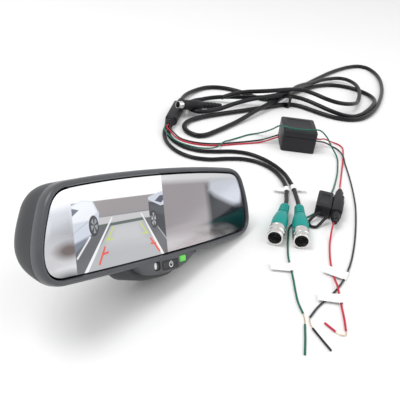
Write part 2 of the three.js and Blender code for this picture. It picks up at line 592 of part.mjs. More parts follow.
function makeWires() {
  cable('feed_red', WIRE, [
    [248.5, 122.8, 8.4], [240.8, 119.4, 8], [237, 112, 6.8], [235.8, 101, 2], [235.6, 89, WIRE_Z],
    [239, 76, WIRE_Z], [248, 62, WIRE_Z], [260, 51, WIRE_Z], [278, 39, WIRE_Z], [295, 27, WIRE_Z], [308, 18, 2],
    [315, 10.5, 6], [321.9, 3.7, 9.5],
  ], RED);
  cable('feed_black', WIRE, [
    [249.5, 120.5, 8.4], [243, 116.6, 7.2], [240.6, 108, 4.2], [239.3, 99, 1.5], [239.6, 90, WIRE_Z],
    [243.4, 78, WIRE_Z], [252, 65, WIRE_Z], [264, 54, WIRE_Z], [281, 42.5, WIRE_Z], [299, 31, WIRE_Z],
    [314, 21.5, 2], [320.5, 13.5, 6], [326.9, 6.9, 9.5],
  ], BLACK);
  cable('trigger_green', WIRE, [
    [247.6, 125, 8.4], [239.6, 121.9, 8.2], [231, 114.5, 7.8], [224, 103, 6.8], [219.8, 88, 6.1], [220.4, 74, 6.1],
    [224.8, 60.5, 6.1], [233.5, 51, 6.1], [244, 48, 5.2], [256, 50, 3.5], [268, 51.6, 3.1], [281, 50.4, 1.6],
    [297, 47, WIRE_Z], [314, 42.6, WIRE_Z], [326, 36, 1.6], [324.5, 27, 7], [319, 14, 17], [314, 1, 28],
    [314, -9, 28.7], [319, -20, 28.5], [328, -31, 28.5], [337, -41.5, 28.6], [342.5, -50, 21], [345, -58, 10],
    [343.5, -66, 2.6], [336, -71.5, WIRE_Z], [318, -79, WIRE_Z], [299, -86, WIRE_Z], [272, -94, WIRE_Z],
    [246, -100, WIRE_Z], [220, -103.4, WIRE_Z], [196, -103.6, WIRE_Z], [178, -100.2, WIRE_Z], [162, -94.8, WIRE_Z],
    [147, -95.5, WIRE_Z], [132, -101.4, WIRE_Z], [116, -108.6, WIRE_Z], [101, -116.2, 1.4], [86.5, -125.4, 2],
    [73, -134.5, 1.4], [60, -142.6, WIRE_Z], [48, -150.6, WIRE_Z], [38, -159.5, WIRE_Z],
  ], GREEN);
  cable('power_red', WIRE, [
    [350.4, -31.2, 10], [355.5, -37.5, 9.4], [368, -40, 6.5], [375.6, -47.5, 2.6], [378.6, -55, 1.2], [374, -63, WIRE_Z],
    [361, -69.6, WIRE_Z], [344, -75.8, WIRE_Z], [325, -82.5, WIRE_Z], [304, -89.5, WIRE_Z], [283, -96.5, WIRE_Z],
    [265, -102.3, 2.4], [254.5, -105.3, 5.8], [245.6, -107.4, 8.4],
  ], RED);
  cable('ground_black', WIRE, [
    [344.6, -34.9, 10], [350, -40.5, 9], [360, -44.5, 5.5], [364.4, -52, 2], [364, -59, 1.2], [357.6, -66, 1.8],
    [349, -72, 3.2], [340.5, -77.6, 3.2], [331, -83, 1.6], [320, -89.6, WIRE_Z], [303, -99, WIRE_Z],
    [283, -109.6, WIRE_Z], [262, -120, WIRE_Z], [238, -131, WIRE_Z], [212, -141, WIRE_Z], [186, -150, WIRE_Z],
    [160, -158, WIRE_Z], [136, -164.2, WIRE_Z], [121, -167, 1.6], [108, -168.9, 2], [96, -169.6, 1.4],
    [84, -169.4, WIRE_Z], [70, -168, WIRE_Z], [53, -166, WIRE_Z], [37, -166, WIRE_Z],
  ], BLACK);
  cable('power_tail', WIRE, [
    [176.4, -128.7, 8.4], [168, -131, 6], [159.5, -133.8, 2.6], [150, -137.2, WIRE_Z], [136, -142.8, WIRE_Z],
    [122, -149.2, WIRE_Z], [108, -156.8, WIRE_Z], [98, -162.8, 1.9], [89, -168.6, 3.2], [82, -172.8, 2.4],
    [74.5, -177.2, 2], [66, -182, 1.4], [54, -188.8, WIRE_Z], [41.5, -195, WIRE_Z],
  ], RED);
  strippedEnd(
    'green_end', [[37.7, -159.8, WIRE_Z], [32, -163.6, WIRE_Z]],
    [[26.5, -166.4, WIRE_Z], [11, -173.6, WIRE_Z], [-4, -180, WIRE_Z]],
  );
  strippedEnd(
    'black_end', [[36.6, -166, WIRE_Z], [31, -168.8, WIRE_Z]],
    [[26.6, -173, WIRE_Z], [20, -183, WIRE_Z], [13, -194, WIRE_Z]],
  );
  strippedEnd(
    'red_end', [[41.1, -195.2, WIRE_Z], [37, -196.6, WIRE_Z], [34.4, -194, WIRE_Z]],
    [[35, -189, WIRE_Z], [37, -183.5, WIRE_Z], [39, -178, WIRE_Z]],
  );
  label('green_label', [86.5, -125.4, 2], [-14, -9.3], WIRE, 11, { length: -17, z: 2.4 });
  label('ground_label', [108, -168.9, 2], [-12, -1.3], WIRE, 12, { length: -18, z: 2.8 });
  label('power_label', [74.5, -177.2, 2], [-8, -4.6], WIRE, 11, { length: -18, z: 2.8 });
}

makeJunction();
makePlug();
makeMainCable();
makeCameraLeads();
makeFilter();
makeFuse();
makeTether();
makeWires();

export default group;
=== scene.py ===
# %% [markdown]
# # A rear-view mirror monitor and its harness
# The CAD part holds every size, place and joint. This lesson dresses it: the frame is loaded
# first, then the camera and the cables are made, then each piece gets its finished surface.
# The frame is the CAD part's, with Z up. The camera and the lamps are placed in metres, and every
# size on the object is written in millimetres.

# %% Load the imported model
import json
import math

import bpy
import numpy as np
from mathutils import Matrix, Vector


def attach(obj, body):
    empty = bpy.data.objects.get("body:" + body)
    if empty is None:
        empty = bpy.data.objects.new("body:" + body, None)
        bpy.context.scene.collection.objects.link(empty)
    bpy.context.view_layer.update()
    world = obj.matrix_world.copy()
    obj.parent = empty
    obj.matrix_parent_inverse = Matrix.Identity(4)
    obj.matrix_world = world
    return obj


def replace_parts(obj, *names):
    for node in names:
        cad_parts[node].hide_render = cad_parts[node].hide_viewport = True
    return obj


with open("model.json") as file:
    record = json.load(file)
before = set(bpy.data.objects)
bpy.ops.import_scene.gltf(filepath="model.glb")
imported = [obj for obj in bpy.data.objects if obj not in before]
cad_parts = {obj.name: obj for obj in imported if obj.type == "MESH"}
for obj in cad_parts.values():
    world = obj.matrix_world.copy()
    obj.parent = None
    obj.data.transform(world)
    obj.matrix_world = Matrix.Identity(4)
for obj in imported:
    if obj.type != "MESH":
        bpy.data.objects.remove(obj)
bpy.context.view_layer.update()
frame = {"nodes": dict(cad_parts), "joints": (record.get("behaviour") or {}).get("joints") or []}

MM = 0.001
# Left open round the key and the windows, and at the seam of the filter box.
GAP = 0.3
joints = {joint["name"]: joint for joint in frame["joints"]}

# %% [markdown]
# ## The camera and the room
# The camera looks along the table from the front left, a little over the mirror, and is
# turned slightly about its own line of sight. Its three axes are worked out from a heading,
# a pitch and a roll, which is easier to reason about than three Euler angles.

# %% Camera
EYE = Vector((-0.3456, -0.2621, 0.3142))
HEADING, PITCH, ROLL = math.radians(61.3), math.radians(30), math.radians(8)

ahead = Vector((
    math.sin(HEADING) * math.cos(PITCH), math.cos(HEADING) * math.cos(PITCH), -math.sin(PITCH)))
level = Vector((math.cos(HEADING), -math.sin(HEADING), 0))
up = level.cross(ahead)
right = math.cos(ROLL) * level + math.sin(ROLL) * up
top = math.cos(ROLL) * up - math.sin(ROLL) * level
bpy.ops.object.camera_add(location=EYE)
camera = bpy.context.object
camera.matrix_world = Matrix.Translation(EYE) @ Matrix((right, top, -ahead)).transposed().to_4x4()
camera.data.lens = 55.17
camera.data.clip_start = 0.01
bpy.context.scene.camera = camera
print("camera at", tuple(round(value, 3) for value in EYE))

# %% Floor and light
def unselect():
    """Nothing stays selected, so an operator acts only on what comes next."""
    bpy.ops.object.select_all(action="DESELECT")


unselect()
bpy.ops.mesh.primitive_plane_add(size=8, location=(0.3, 0, 0))
floor = bpy.context.object
floor.name = "floor"

world = bpy.data.worlds.new("studio")
bpy.context.scene.world = world
world.use_nodes = True
background = world.node_tree.nodes["Background"]
background.inputs["Color"].default_value = (1, 1, 1, 1)
background.inputs["Strength"].default_value = 0.78
bpy.context.scene.view_settings.view_transform = "Standard"


def softbox(name, place, aim, size, power):
    """A square lamp at a place, facing a point."""
    bpy.ops.object.light_add(type="AREA", location=place)
    lamp = bpy.context.object
    lamp.name = name
    lamp.data.size = size
    lamp.data.energy = power
    lamp.rotation_euler = (Vector(aim) - Vector(place)).to_track_quat("-Z", "Y").to_euler()


softbox("key", (-0.5, 0.5, 1.7), (0.2, 0, 0), 1.0, 17)
softbox("fill", (0.9, -1.2, 1.2), (0.2, 0, 0), 1.4, 7)

# %% [markdown]
# ## Finishes
# A finish is one material: a Principled shader whose constants sit on its own sockets, and a
# few nodes for what changes over the surface. Writing shader maths as Python expressions keeps
# it readable, so a small class wraps a node's output and turns + - * / into Math nodes.

# %% Shader maths as expressions
class Flow:
    """One output of a node; operators on it add Math nodes."""

    def __init__(self, finish, socket):
        self.finish, self.socket = finish, socket

    def maths(self, operation, *values, clamp=False):
        settings = {"operation": operation, "use_clamp": clamp}
        return self.finish.node("ShaderNodeMath", settings, dict(enumerate(values)))

    def __add__(self, other): return self.maths("ADD", self, other)
    def __sub__(self, other): return self.maths("SUBTRACT", self, other)
    def __rsub__(self, other): return self.maths("SUBTRACT", other, self)
    def __mul__(self, other): return self.maths("MULTIPLY", self, other)

    def lowest(self, other):
        return self.maths("MINIMUM", self, other)

    def mask(self):
        """The value held between 0 and 1."""
        return self.maths("ADD", self, 0, clamp=True)


class Finish:
    """A material under construction, with one Principled shader."""

    def __init__(self, name, colour, **sockets):
        self.material = bpy.data.materials.new(name)
        self.material.use_nodes = True
        self.tree = self.material.node_tree
        self.shader = self.tree.nodes["Principled BSDF"]
        self.shader.inputs["Base Color"].default_value = (*colour, 1)
        for socket, value in sockets.items():
            self.shader.inputs[socket.replace("_", " ").title().replace("Ior", "IOR")].default_value = value

    def node(self, kind, settings=None, inputs=None, output=0):
        made = self.tree.nodes.new(kind)
        for key, value in (settings or {}).items():
            setattr(made, key, value)
        for key, value in (inputs or {}).items():
            if isinstance(value, Flow):
                self.tree.links.new(value.socket, made.inputs[key])
            else:
                made.inputs[key].default_value = value
        return Flow(self, made.outputs[output])

    def drive(self, socket, flow):
        self.tree.links.new(flow.socket, self.shader.inputs[socket])

    def place(self):
        return self.node("ShaderNodeTexCoord", output="Object")

    def noise(self, scale, detail=3, vector=None, output="Fac"):
        sizes = {"Vector": vector or self.place(), "Scale": scale, "Detail": detail}
        return self.node("ShaderNodeTexNoise", {}, sizes, output)

    def mix(self, factor, low, high):
        """Two colours blended by a mask."""
        pairs = {0: factor, 6: low, 7: high}
        filled = {k: (*v, 1) if isinstance(v, tuple) else v for k, v in pairs.items()}
        return self.node("ShaderNodeMix", {"data_type": "RGBA"}, filled, 2)

    def bump(self, height, distance, strength=1.0):
        """Fine relief that catches light without moving the mesh."""
        sizes = {"Height": height, "Distance": distance, "Strength": strength}
        self.drive("Normal", self.node("ShaderNodeBump", {}, sizes))


def shade(*levels):
    """A screen colour, 0 to 255, as the linear colour that shaders use, by the sRGB curve."""
    return tuple(((v / 255 + 0.055) / 1.055) ** 2.4 if v > 10 else v / 3295 for v in levels)


# %% [markdown]
# Moulded plastic is never one flat colour. Its texture is a fine bump, its sheen shifts a
# little from place to place, and handling leaves it slightly paler in patches. One function
# makes all the black and grey mouldings, with the grain and gloss of each as its arguments.

# %% Mouldings
def moulding(name, colour, roughness, grain=1100, depth=0.00004, patch=0.12, coat=0.0, gloss=0.25):
    """Moulded plastic or rubber with a fine grain and slight patches of wear."""
    finish = Finish(name, colour, roughness=roughness, coat_weight=coat, coat_roughness=0.2,
                    specular_ior_level=gloss)
    patches = finish.noise(38, 4)
    paler = tuple(min(1, value * (1 + 2.2 * patch) + 0.012 * patch) for value in colour)
    darker = tuple(value * (1 - patch) for value in colour)
    finish.drive("Base Color", finish.mix(patches, darker, paler))
    finish.drive("Roughness", patches * 0.16 + (roughness - 0.08))
    finish.bump(finish.noise(grain, 2), depth, 0.5)
    return finish.material


shell_plastic = moulding("shell_plastic", shade(60, 61, 64), 0.46, gloss=0.35)
bezel_plastic = moulding("bezel_plastic", shade(72, 73, 77), 0.36, coat=0.1, gloss=0.4)
black_plastic = moulding("black_plastic", shade(34, 34, 38), 0.42, 1500, 0.00003)
rubber = moulding("moulded_rubber", shade(30, 30, 34), 0.48, 1300, 0.00004, coat=0.04)
jacket = moulding("cable_jacket", shade(15, 15, 19), 0.32, 2000, 0.00002, coat=0.08)
teal = moulding("teal_moulding", shade(0, 140, 132), 0.4, 1200, 0.00004, 0.1, coat=0.15)
mount_plastic = moulding("mount_plastic", shade(58, 59, 61), 0.52)
print("mouldings:", len(bpy.data.materials))


# %% Wires, metals and the rest
def insulation(name, colour):
    """Thin PVC on a wire: glossy, with the faint lengthwise waver of the strands under it."""
    finish = Finish(name, colour, roughness=0.32, coat_weight=0.1, coat_roughness=0.15,
                    specular_ior_level=0.3)
    darker = tuple(value * 0.78 for value in colour)
    paler = tuple(value * 1.2 for value in colour)
    finish.drive("Base Color", finish.mix(finish.noise(160, 3), darker, paler))
    finish.bump(finish.noise(420, 2), 0.00006, 0.4)
    return finish.material


def metal(name, colour, roughness, brush=(300, 300, 300), depth=0.000015):
    """Plated or brushed metal, with its scratches drawn out along one axis."""
    finish = Finish(name, colour, roughness=roughness, metallic=1.0)
    drawn_out = finish.node("ShaderNodeMapping", {}, {"Vector": finish.place(), "Scale": brush})
    marks = finish.noise(1.0, 4, drawn_out)
    finish.drive("Roughness", marks * 0.22 + (roughness - 0.08))
    finish.drive("Base Color", finish.mix(marks, tuple(v * 0.86 for v in colour), colour))
    finish.bump(marks, depth, 0.5)
    return finish.material


red_wire = insulation("red_wire", shade(190, 38, 58))
black_wire = insulation("black_wire", shade(38, 38, 42))
green_wire = insulation("green_wire", shade(18, 98, 82))
nickel = metal("plated_ring", (0.8, 0.79, 0.77), 0.2, (500, 500, 500))
steel = metal("screw_steel", (0.55, 0.55, 0.56), 0.34, (200, 1800, 1800))
zinc = metal("mount_metal", (0.3, 0.31, 0.33), 0.42, (900, 900, 120))
copper = metal("copper_wire", (0.86, 0.68, 0.5), 0.3, (2600, 2600, 2600))
tray_metal = metal("tray_metal", (0.72, 0.73, 0.74), 0.35, (90, 1500, 1500))

paper = Finish("label_paper", shade(224, 224, 223), roughness=0.5)
fibres = paper.noise(700, 4)
paper.drive("Base Color", paper.mix(fibres, shade(228, 228, 226), shade(250, 250, 249)))
paper.bump(fibres, 0.00003, 0.4)

board = Finish("circuit_board", shade(20, 84, 48), roughness=0.35, coat_weight=0.3)
cells = {"Vector": board.place(), "Scale": 260.0}
edge_distance = board.node("ShaderNodeTexVoronoi", {"feature": "DISTANCE_TO_EDGE"}, cells)
tracks = ((edge_distance - 0.08) * (edge_distance - 0.06)).mask()
board.drive("Base Color", board.mix(tracks, shade(60, 130, 80), shade(16, 74, 42)))

amber = Finish("fuse_plastic", shade(214, 130, 40), roughness=0.2, coat_weight=0.4)
amber.drive("Base Color", amber.mix(amber.noise(180, 3), shade(196, 110, 30), shade(226, 146, 58)))

backdrop = Finish("paper_floor", (0.86, 0.86, 0.86), roughness=0.75)
backdrop.drive("Base Color", backdrop.mix(backdrop.noise(6, 3), (0.85, 0.85, 0.85), (0.88, 0.88, 0.88)))
floor.data.materials.append(backdrop.material)
print("finishes:", len(bpy.data.materials))


# %% [markdown]
# ## Cables and wires
# A cable is a fixed length of something flexible, so each is one smooth line with the real
# cable's thickness around it. The line runs through listed points by a Catmull-Rom curve,
# which passes through every point and leaves no corner. What the wires lie on sets their
# height: the table, or the cable that they cross.

# %% A cable from its route
def smooth_line(route, steps=8):
    """Points along a centripetal Catmull-Rom curve through the route."""
    points = [Vector(point) for point in route]
    held = [2 * points[0] - points[1]] + points + [2 * points[-1] - points[-2]]
    line = []
    for a, b, c, d in zip(held, held[1:], held[2:], held[3:]):
        t1 = (b - a).length ** 0.5
        t2 = t1 + (c - b).length ** 0.5
        t3 = t2 + (d - c).length ** 0.5
        for step in range(steps):
            t = t1 + (t2 - t1) * step / steps
            ab, bc, cd = a.lerp(b, t / t1), b.lerp(c, (t - t1) / (t2 - t1)), c.lerp(d, (t - t2) / (t3 - t2))
            low, high = ab.lerp(bc, t / t2), bc.lerp(cd, (t - t1) / (t3 - t1))
            line.append(low.lerp(high, (t - t1) / (t2 - t1)))
    return line + [held[-2]]


def run_length(line):
    return sum((b - a).length for a, b in zip(line, line[1:]))


def belong(piece, finish, body="mirror_head"):
    """Gives a piece its finish and its body."""
    piece.data.materials.clear()
    piece.data.materials.append(finish)
    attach(piece, body)


def lay_cable(name, line, diameter, finish):
    """The line as a round cable of a diameter in millimetres, with its finish."""
    data = bpy.data.curves.new(name, "CURVE")
    data.dimensions = "3D"
    data.bevel_depth = diameter / 2 * MM
    data.bevel_resolution = 5
    data.use_fill_caps = True
    spline = data.splines.new("POLY")
    spline.points.add(len(line) - 1)
    for point, place in zip(spline.points, line):
        point.co = (*place, 1)
    spline.use_smooth = True
    cable = bpy.data.objects.new(name, data)
    bpy.context.scene.collection.objects.link(cable)
    belong(cable, finish)
    print(f"{name}: {run_length(line):.3f} m of {diameter:g} mm")
    return cable


# %% Routes of the thin cables
WIRE, CAMERA_CABLE, MAIN_CABLE = 1.8, 4.6, 6
TABLE_CLEARANCE = 0.2
ROUTES = {
    "camera_cable_1": [
        (247.4, 125, 4.2), (239, 121.2, 3.6), (226, 112), (212, 96), (203.5, 76), (204, 57), (214, 40),
        (231, 26), (245, 11), (250.5, -6), (247, -25), (236, -42), (222, -54.5, 2.9),
        (211.5, -60.8, 3.4), (199, -66.5, 4.4), (185, -72.8, 6.8), (170.3, -77.9, 8.4),
    ],
    "camera_cable_2": [
        (249.6, 120.2, 4.2), (241, 116.2, 3.4), (231, 107), (223.5, 94), (220.5, 77), (225, 60),
        (238, 45), (253, 31), (262, 15), (263, -3), (258, -22), (247, -41), (233, -55, 2.9),
        (221, -64.8, 3.4), (207, -74, 4.4), (193, -82, 6.8), (178.8, -89.8, 8.4),
    ],
    "feed_red": [
        (248.5, 122.8, 8.4), (240.8, 119.4, 8), (237, 112, 6.8), (235.8, 101, 2), (235.6, 89), (239, 76),
        (248, 62), (260, 51), (278, 39), (295, 27), (308, 18, 2), (315, 10.5, 6), (321.9, 3.7, 9.5),
    ],
    "feed_black": [
        (249.5, 120.5, 8.4), (243, 116.6, 7.2), (240.6, 108, 4.2), (239.3, 99, 1.5), (239.6, 90),
        (243.4, 78), (252, 65), (264, 54), (281, 42.5), (299, 31), (314, 21.5, 2), (320.5, 13.5, 6),
        (326.9, 6.9, 9.5),
    ],
    "trigger_green": [
        (247.6, 125, 8.4), (239.6, 121.9, 8.2), (231, 114.5, 7.8), (224, 103, 6.8), (219.8, 88, 6.1),
        (220.4, 74, 6.1), (224.8, 60.5, 6.1), (233.5, 51, 6.1), (244, 48, 5.2), (256, 50, 3.5),
        (268, 51.6, 3.1), (281, 50.4, 1.6), (297, 47), (314, 42.6), (326, 36, 1.6), (324.5, 27, 7),
        (319, 14, 17), (314, 1, 28), (314, -9, 28.7), (319, -20, 28.5), (328, -31, 28.5),
        (337, -41.5, 28.6), (342.5, -50, 21), (345, -58, 10), (343.5, -66, 2.6), (336, -71.5),
        (318, -79), (299, -86), (272, -94), (246, -100), (220, -103.4), (196, -103.6), (178, -100.2),
        (162, -94.8), (147, -95.5), (132, -101.4), (116, -108.6), (101, -116.2, 1.4), (86.5, -125.4, 2),
        (73, -134.5, 1.4), (60, -142.6), (48, -150.6), (38, -159.5),
    ],
    "power_red": [
        (350.4, -31.2, 10), (355.5, -37.5, 9.4), (368, -40, 6.5), (375.6, -47.5, 2.6), (378.6, -55, 1.2),
        (374, -63), (361, -69.6), (344, -75.8), (325, -82.5), (304, -89.5), (283, -96.5),
        (265, -102.3, 2.4), (254.5, -105.3, 5.8), (245.6, -107.4, 8.4),
    ],
    "ground_black": [
        (344.6, -34.9, 10), (350, -40.5, 9), (360, -44.5, 5.5), (364.4, -52, 2), (364, -59, 1.2),
        (357.6, -66, 1.8), (349, -72, 3.2), (340.5, -77.6, 3.2), (331, -83, 1.6), (320, -89.6),
        (303, -99), (283, -109.6), (262, -120), (238, -131), (212, -141), (186, -150), (160, -158),
        (136, -164.2), (121, -167, 1.6), (108, -168.9, 2), (96, -169.6, 1.4), (84, -169.4), (70, -168),
        (53, -166), (37, -166),
    ],
    "power_tail": [
        (176.4, -128.7, 8.4), (168, -131, 6), (159.5, -133.8, 2.6), (150, -137.2), (136, -142.8),
        (122, -149.2), (108, -156.8), (98, -162.8, 1.9), (89, -168.6, 3.2), (82, -172.8, 2.4),
        (74.5, -177.2, 2), (66, -182, 1.4), (54, -188.8), (41.5, -195),
    ],
}



def placed(route, diameter):
    """A route's points in metres, each one without a height of its own lying on the table."""
    lying = diameter / 2 + TABLE_CLEARANCE
    return [tuple(value * MM for value in (*point, lying)[:3]) for point in route]


# %% Thin cables
LEADS = {
    "camera_cable_1": (CAMERA_CABLE, jacket),
    "camera_cable_2": (CAMERA_CABLE, jacket),
    "feed_red": (WIRE, red_wire),
    "feed_black": (WIRE, black_wire),
    "trigger_green": (WIRE, green_wire),
    "power_red": (WIRE, red_wire),
    "ground_black": (WIRE, black_wire),
    "power_tail": (WIRE, red_wire),
}
leads, lead_exits, lead_lengths = {}, {}, {}
for node, (diameter, finish) in LEADS.items():
    route = placed(ROUTES[node], diameter)
    line = smooth_line(route)
    leads[node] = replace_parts(lay_cable(node + "_lead", line, diameter, finish), node)
    lead_exits[node], lead_lengths[node] = route[0], run_length(line)

# %% [markdown]
# The main cable is tied up in a bow: it runs out of the junction block, makes three loops on
# the right and two on the left, and passes through the tie between them each time. No two of
# the loops are alike, so the route is a list of points given one by one, as seen from above. The
# heights are worked out as if it were laid down by hand, from its first end to its last: each
# new stretch rests on the table, or on what already lies there, and comes down from it in a
# long low hump.

# %% The bow of main cable
BOW = [
    (333.4, 160.2), (343, 164.5), (355, 168.5), (372, 171.5), (392, 172.5), (410, 170), (424, 162),
    (433, 150), (438, 135), (439.5, 118), (438.5, 102), (441, 88), (449, 78.5), (462, 74.5), (490, 73.5),
    (516, 72.5), (565, 70.5), (613, 69), (650, 67), (682, 63), (712, 56.5), (734, 45.5), (738.5, 33),
    (730, 18.5), (710, 2), (687, -11), (662, -21.5), (638, -30), (607, -38.5), (577, -45), (550, -49.5),
    (525, -51.5), (505, -51), (487, -47.5), (471, -38), (461, -22), (458, -3), (459, 18), (459.5, 35),
    (455.5, 47), (446, 55.5), (430, 62.5), (401, 75.5), (375, 86.5), (348, 98.5), (320, 110),
    (304, 114.5), (288, 117), (272, 113.5), (261.5, 105), (257, 94.5), (258.5, 84), (268, 78),
    (284, 75.5), (305, 73.5), (325, 72), (355, 69.5), (385, 68), (415, 66), (433, 64.5), (447, 64.5),
    (465, 65), (490, 66.5), (516, 66), (545, 61), (570, 53), (589, 42), (599.5, 28.5), (604.5, 13),
    (604, -3), (598.5, -18), (589, -29.5), (575, -38), (558, -42.5), (540, -44.5), (520, -44.5),
    (500, -42.5), (484, -36), (472.5, -24.5), (467, -8), (466, 12), (466, 30), (463, 44), (454.5, 55),
    (440, 63.5), (425, 74), (411, 88), (400, 103.5), (390, 119), (379, 133.5), (367, 143.5), (353, 149),
    (338, 148.5), (324, 143), (314.5, 134.5), (312, 124.5), (316.5, 116), (328, 109), (344, 103.5),
    (365, 96.5), (388, 86), (410, 73.5), (430, 63), (447, 57.5), (465, 56.5), (490, 59.5), (525, 60.5),
    (560, 59), (589, 56), (610, 50.5), (622.5, 42), (626.5, 32), (623, 21.5), (614, 10.5), (601, 0.5),
    (584, -9), (563, -16.5), (543, -21.5), (522, -24), (503, -23), (488, -17.5), (478, -7.5), (473.5, 7),
    (473, 22), (470.5, 36.5), (462, 47.5), (448, 54.5), (434, 62.5), (420, 74.5), (410, 85.5), (403, 93),
    (394, 100.5), (384, 107), (373, 112), (363.6, 114.8),
]
BOW_ENDS = {0: 6.2, 1: 5, 2: 3.6, -3: 3.4, -2: 3.8, -1: 4.6}
BOW_STEPS = 6


def laid_heights(plan, base, diameter, rounds=14, slope_radius=0.05, ease=0.006):
    """Heights of a cable laid in order, each stretch over what is under it, all in metres."""
    steps = np.r_[0, np.cumsum(np.linalg.norm(np.diff(plan, axis=0), axis=1))]
    apart = np.linalg.norm(plan[:, None] - plan[None, :], axis=2)
    gap = steps[:, None] - steps[None, :]
    shortest_turn, spacing = 6 * diameter, 1.04 * diameter
    under = (gap > shortest_turn) & (apart < diameter)
    reach = np.sqrt(np.clip(spacing ** 2 - apart ** 2, 0, None))
    ramp = gap ** 2 / (2 * slope_radius)
    soft = np.exp(-0.5 * (gap / ease) ** 2)
    soft /= soft.sum(axis=1, keepdims=True)
    heights = base.copy()
    for _ in range(rounds):
        resting = np.where(under, heights[None, :] + reach, -1).max(axis=1)
        heights = np.maximum(base, (np.maximum(heights, resting)[None, :] - ramp).max(axis=1))
        heights = np.maximum(base, soft @ heights)
    return heights


plan_line = smooth_line([(x * MM, y * MM, 0) for x, y in BOW], BOW_STEPS)
plan = np.array([point[:2] for point in plan_line])
resting = [MAIN_CABLE / 2 + TABLE_CLEARANCE] * len(BOW)
for place, height in BOW_ENDS.items():
    resting[place] = height
base = np.interp(np.arange(len(plan)) / BOW_STEPS, np.arange(len(BOW)), resting) * MM
heights = laid_heights(plan, base, MAIN_CABLE * MM)
bow_line = [Vector((x, y, z)) for (x, y), z in zip(plan.tolist(), heights.tolist())]
main_lead = lay_cable("main_cable_lead", bow_line, MAIN_CABLE, jacket)
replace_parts(main_lead, "main_cable", "plug_cable", "cable_hank")
print(f"bow: up to {max(heights) / MM:.1f} mm high")

# %% [markdown]
# ## Tools for shaping
# Most pieces here begin as one of four things: a block with rounded edges, a round body raised
# ring by ring, a flat outline pushed to a thickness, or a section swept round an outline.
# Each tool starts from a primitive and shapes it in edit mode, as it would be done by hand.

# %% Selecting and finishing
def activate(piece):
    unselect()
    piece.select_set(True)
    bpy.context.view_layer.objects.active = piece


def edit(piece, kind="VERT", chosen=None):
    """Opens a piece in edit mode with the corners, edges or faces that chosen() accepts selected."""
    activate(piece)
    bpy.context.tool_settings.mesh_select_mode = (kind == "VERT", kind == "EDGE", kind == "FACE")
    bpy.ops.object.mode_set(mode="EDIT")
    bpy.ops.mesh.select_all(action="SELECT" if chosen is None else "DESELECT")
    if chosen is None:
        return
    bpy.ops.object.mode_set(mode="OBJECT")
    mesh = piece.data
    if kind == "VERT":
        for corner in mesh.vertices:
            corner.select = chosen(corner.co)
    elif kind == "EDGE":
        for line in mesh.edges:
            line.select = chosen(*(mesh.vertices[i].co for i in line.vertices))
    else:
        for face in mesh.polygons:
            face.select = chosen(face.center, face.normal)
    bpy.ops.object.mode_set(mode="EDIT")


def close(piece):
    """Merges doubled corners, turns every face outwards and leaves edit mode."""
    bpy.ops.mesh.select_all(action="SELECT")
    bpy.ops.mesh.remove_doubles(threshold=1e-6)
    bpy.ops.mesh.normals_make_consistent(inside=False)
    bpy.ops.object.mode_set(mode="OBJECT")
    return piece


def soften(piece, width, angle):
    """Rounds every edge sharper than the angle."""
    activate(piece)
    bevel = piece.modifiers.new("soften", "BEVEL")
    bevel.width, bevel.segments, bevel.limit_method = width * MM, 2, "ANGLE"
    bevel.angle_limit = math.radians(angle)
    bpy.ops.object.modifier_apply(modifier="soften")
    return piece


def combine(piece, others, operation="UNION"):
    """Joins other solids to a piece, or cuts them out of it, and removes them."""
    for other in others:
        activate(piece)
        step = piece.modifiers.new("combine", "BOOLEAN")
        step.operation, step.object, step.solver = operation, other, "MANIFOLD"
        bpy.ops.object.modifier_apply(modifier="combine")
        bpy.data.objects.remove(other)
    return piece


def settle(piece, place, finish, *nodes, body="mirror_head", slot=None, smooth=35):
    """Lays a finished piece in its place and says what it belongs to and which nodes it stands for."""
    activate(piece)
    piece.matrix_world = place
    bpy.ops.object.transform_apply(location=True, rotation=True, scale=True)
    bpy.ops.object.shade_smooth_by_angle(angle=math.radians(smooth))
    belong(piece, finish, body)
    if nodes:
        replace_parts(piece, *nodes)
    print(f"{piece.name}: {len(piece.data.polygons)} faces")
    return piece


def dress(finish, *nodes):
    """Gives CAD nodes whose shape is right a finished surface."""
    for node in nodes:
        frame["nodes"][node].data.materials.clear()
        frame["nodes"][node].data.materials.append(finish)


# %% Blocks and round bodies
def block(name, low, high, corner, edge, segments=4):
    """A box in millimetres, its upright edges rounded by corner and the rest by edge."""
    unselect()
    low, high = Vector(low) * MM, Vector(high) * MM
    bpy.ops.mesh.primitive_cube_add(size=1, location=(low + high) / 2)
    piece = bpy.context.object
    piece.name = name
    piece.scale = high - low
    bpy.ops.object.transform_apply(location=True, scale=True)
    edit(piece, "EDGE", lambda a, b: abs(a.z - b.z) > 1e-6)
    bpy.ops.mesh.bevel(offset=corner * MM, segments=segments, affect="EDGES")
    close(piece)
    edit(piece, "EDGE", lambda a, b: abs(a.z - b.z) < 1e-6)
    bpy.ops.mesh.bevel(offset=edge * MM, segments=3, affect="EDGES")
    return close(piece)


def turned(name, profile, sides=40, ring=False, centre=(0, 0)):
    """A round body from (radius, height) steps in millimetres; a ring's profile ends at its start."""
    unselect()
    radius, height = profile[0]
    fill = "NOTHING" if ring else "NGON"
    bpy.ops.mesh.primitive_circle_add(vertices=sides, radius=radius * MM, fill_type=fill)
    piece = bpy.context.object
    piece.name = name
    edit(piece)
    bpy.ops.transform.translate(value=(0, 0, height * MM))
    for wider, higher in profile[1:]:
        bpy.ops.mesh.extrude_region_move(TRANSFORM_OT_translate={"value": (0, 0, (higher - height) * MM)})
        scale = wider / radius
        bpy.ops.transform.resize(value=(scale, scale, 1), center_override=(0, 0, higher * MM))
        radius, height = wider, higher
    bpy.ops.mesh.select_all(action="SELECT")
    bpy.ops.transform.translate(value=(centre[0] * MM, centre[1] * MM, 0))
    return close(piece)


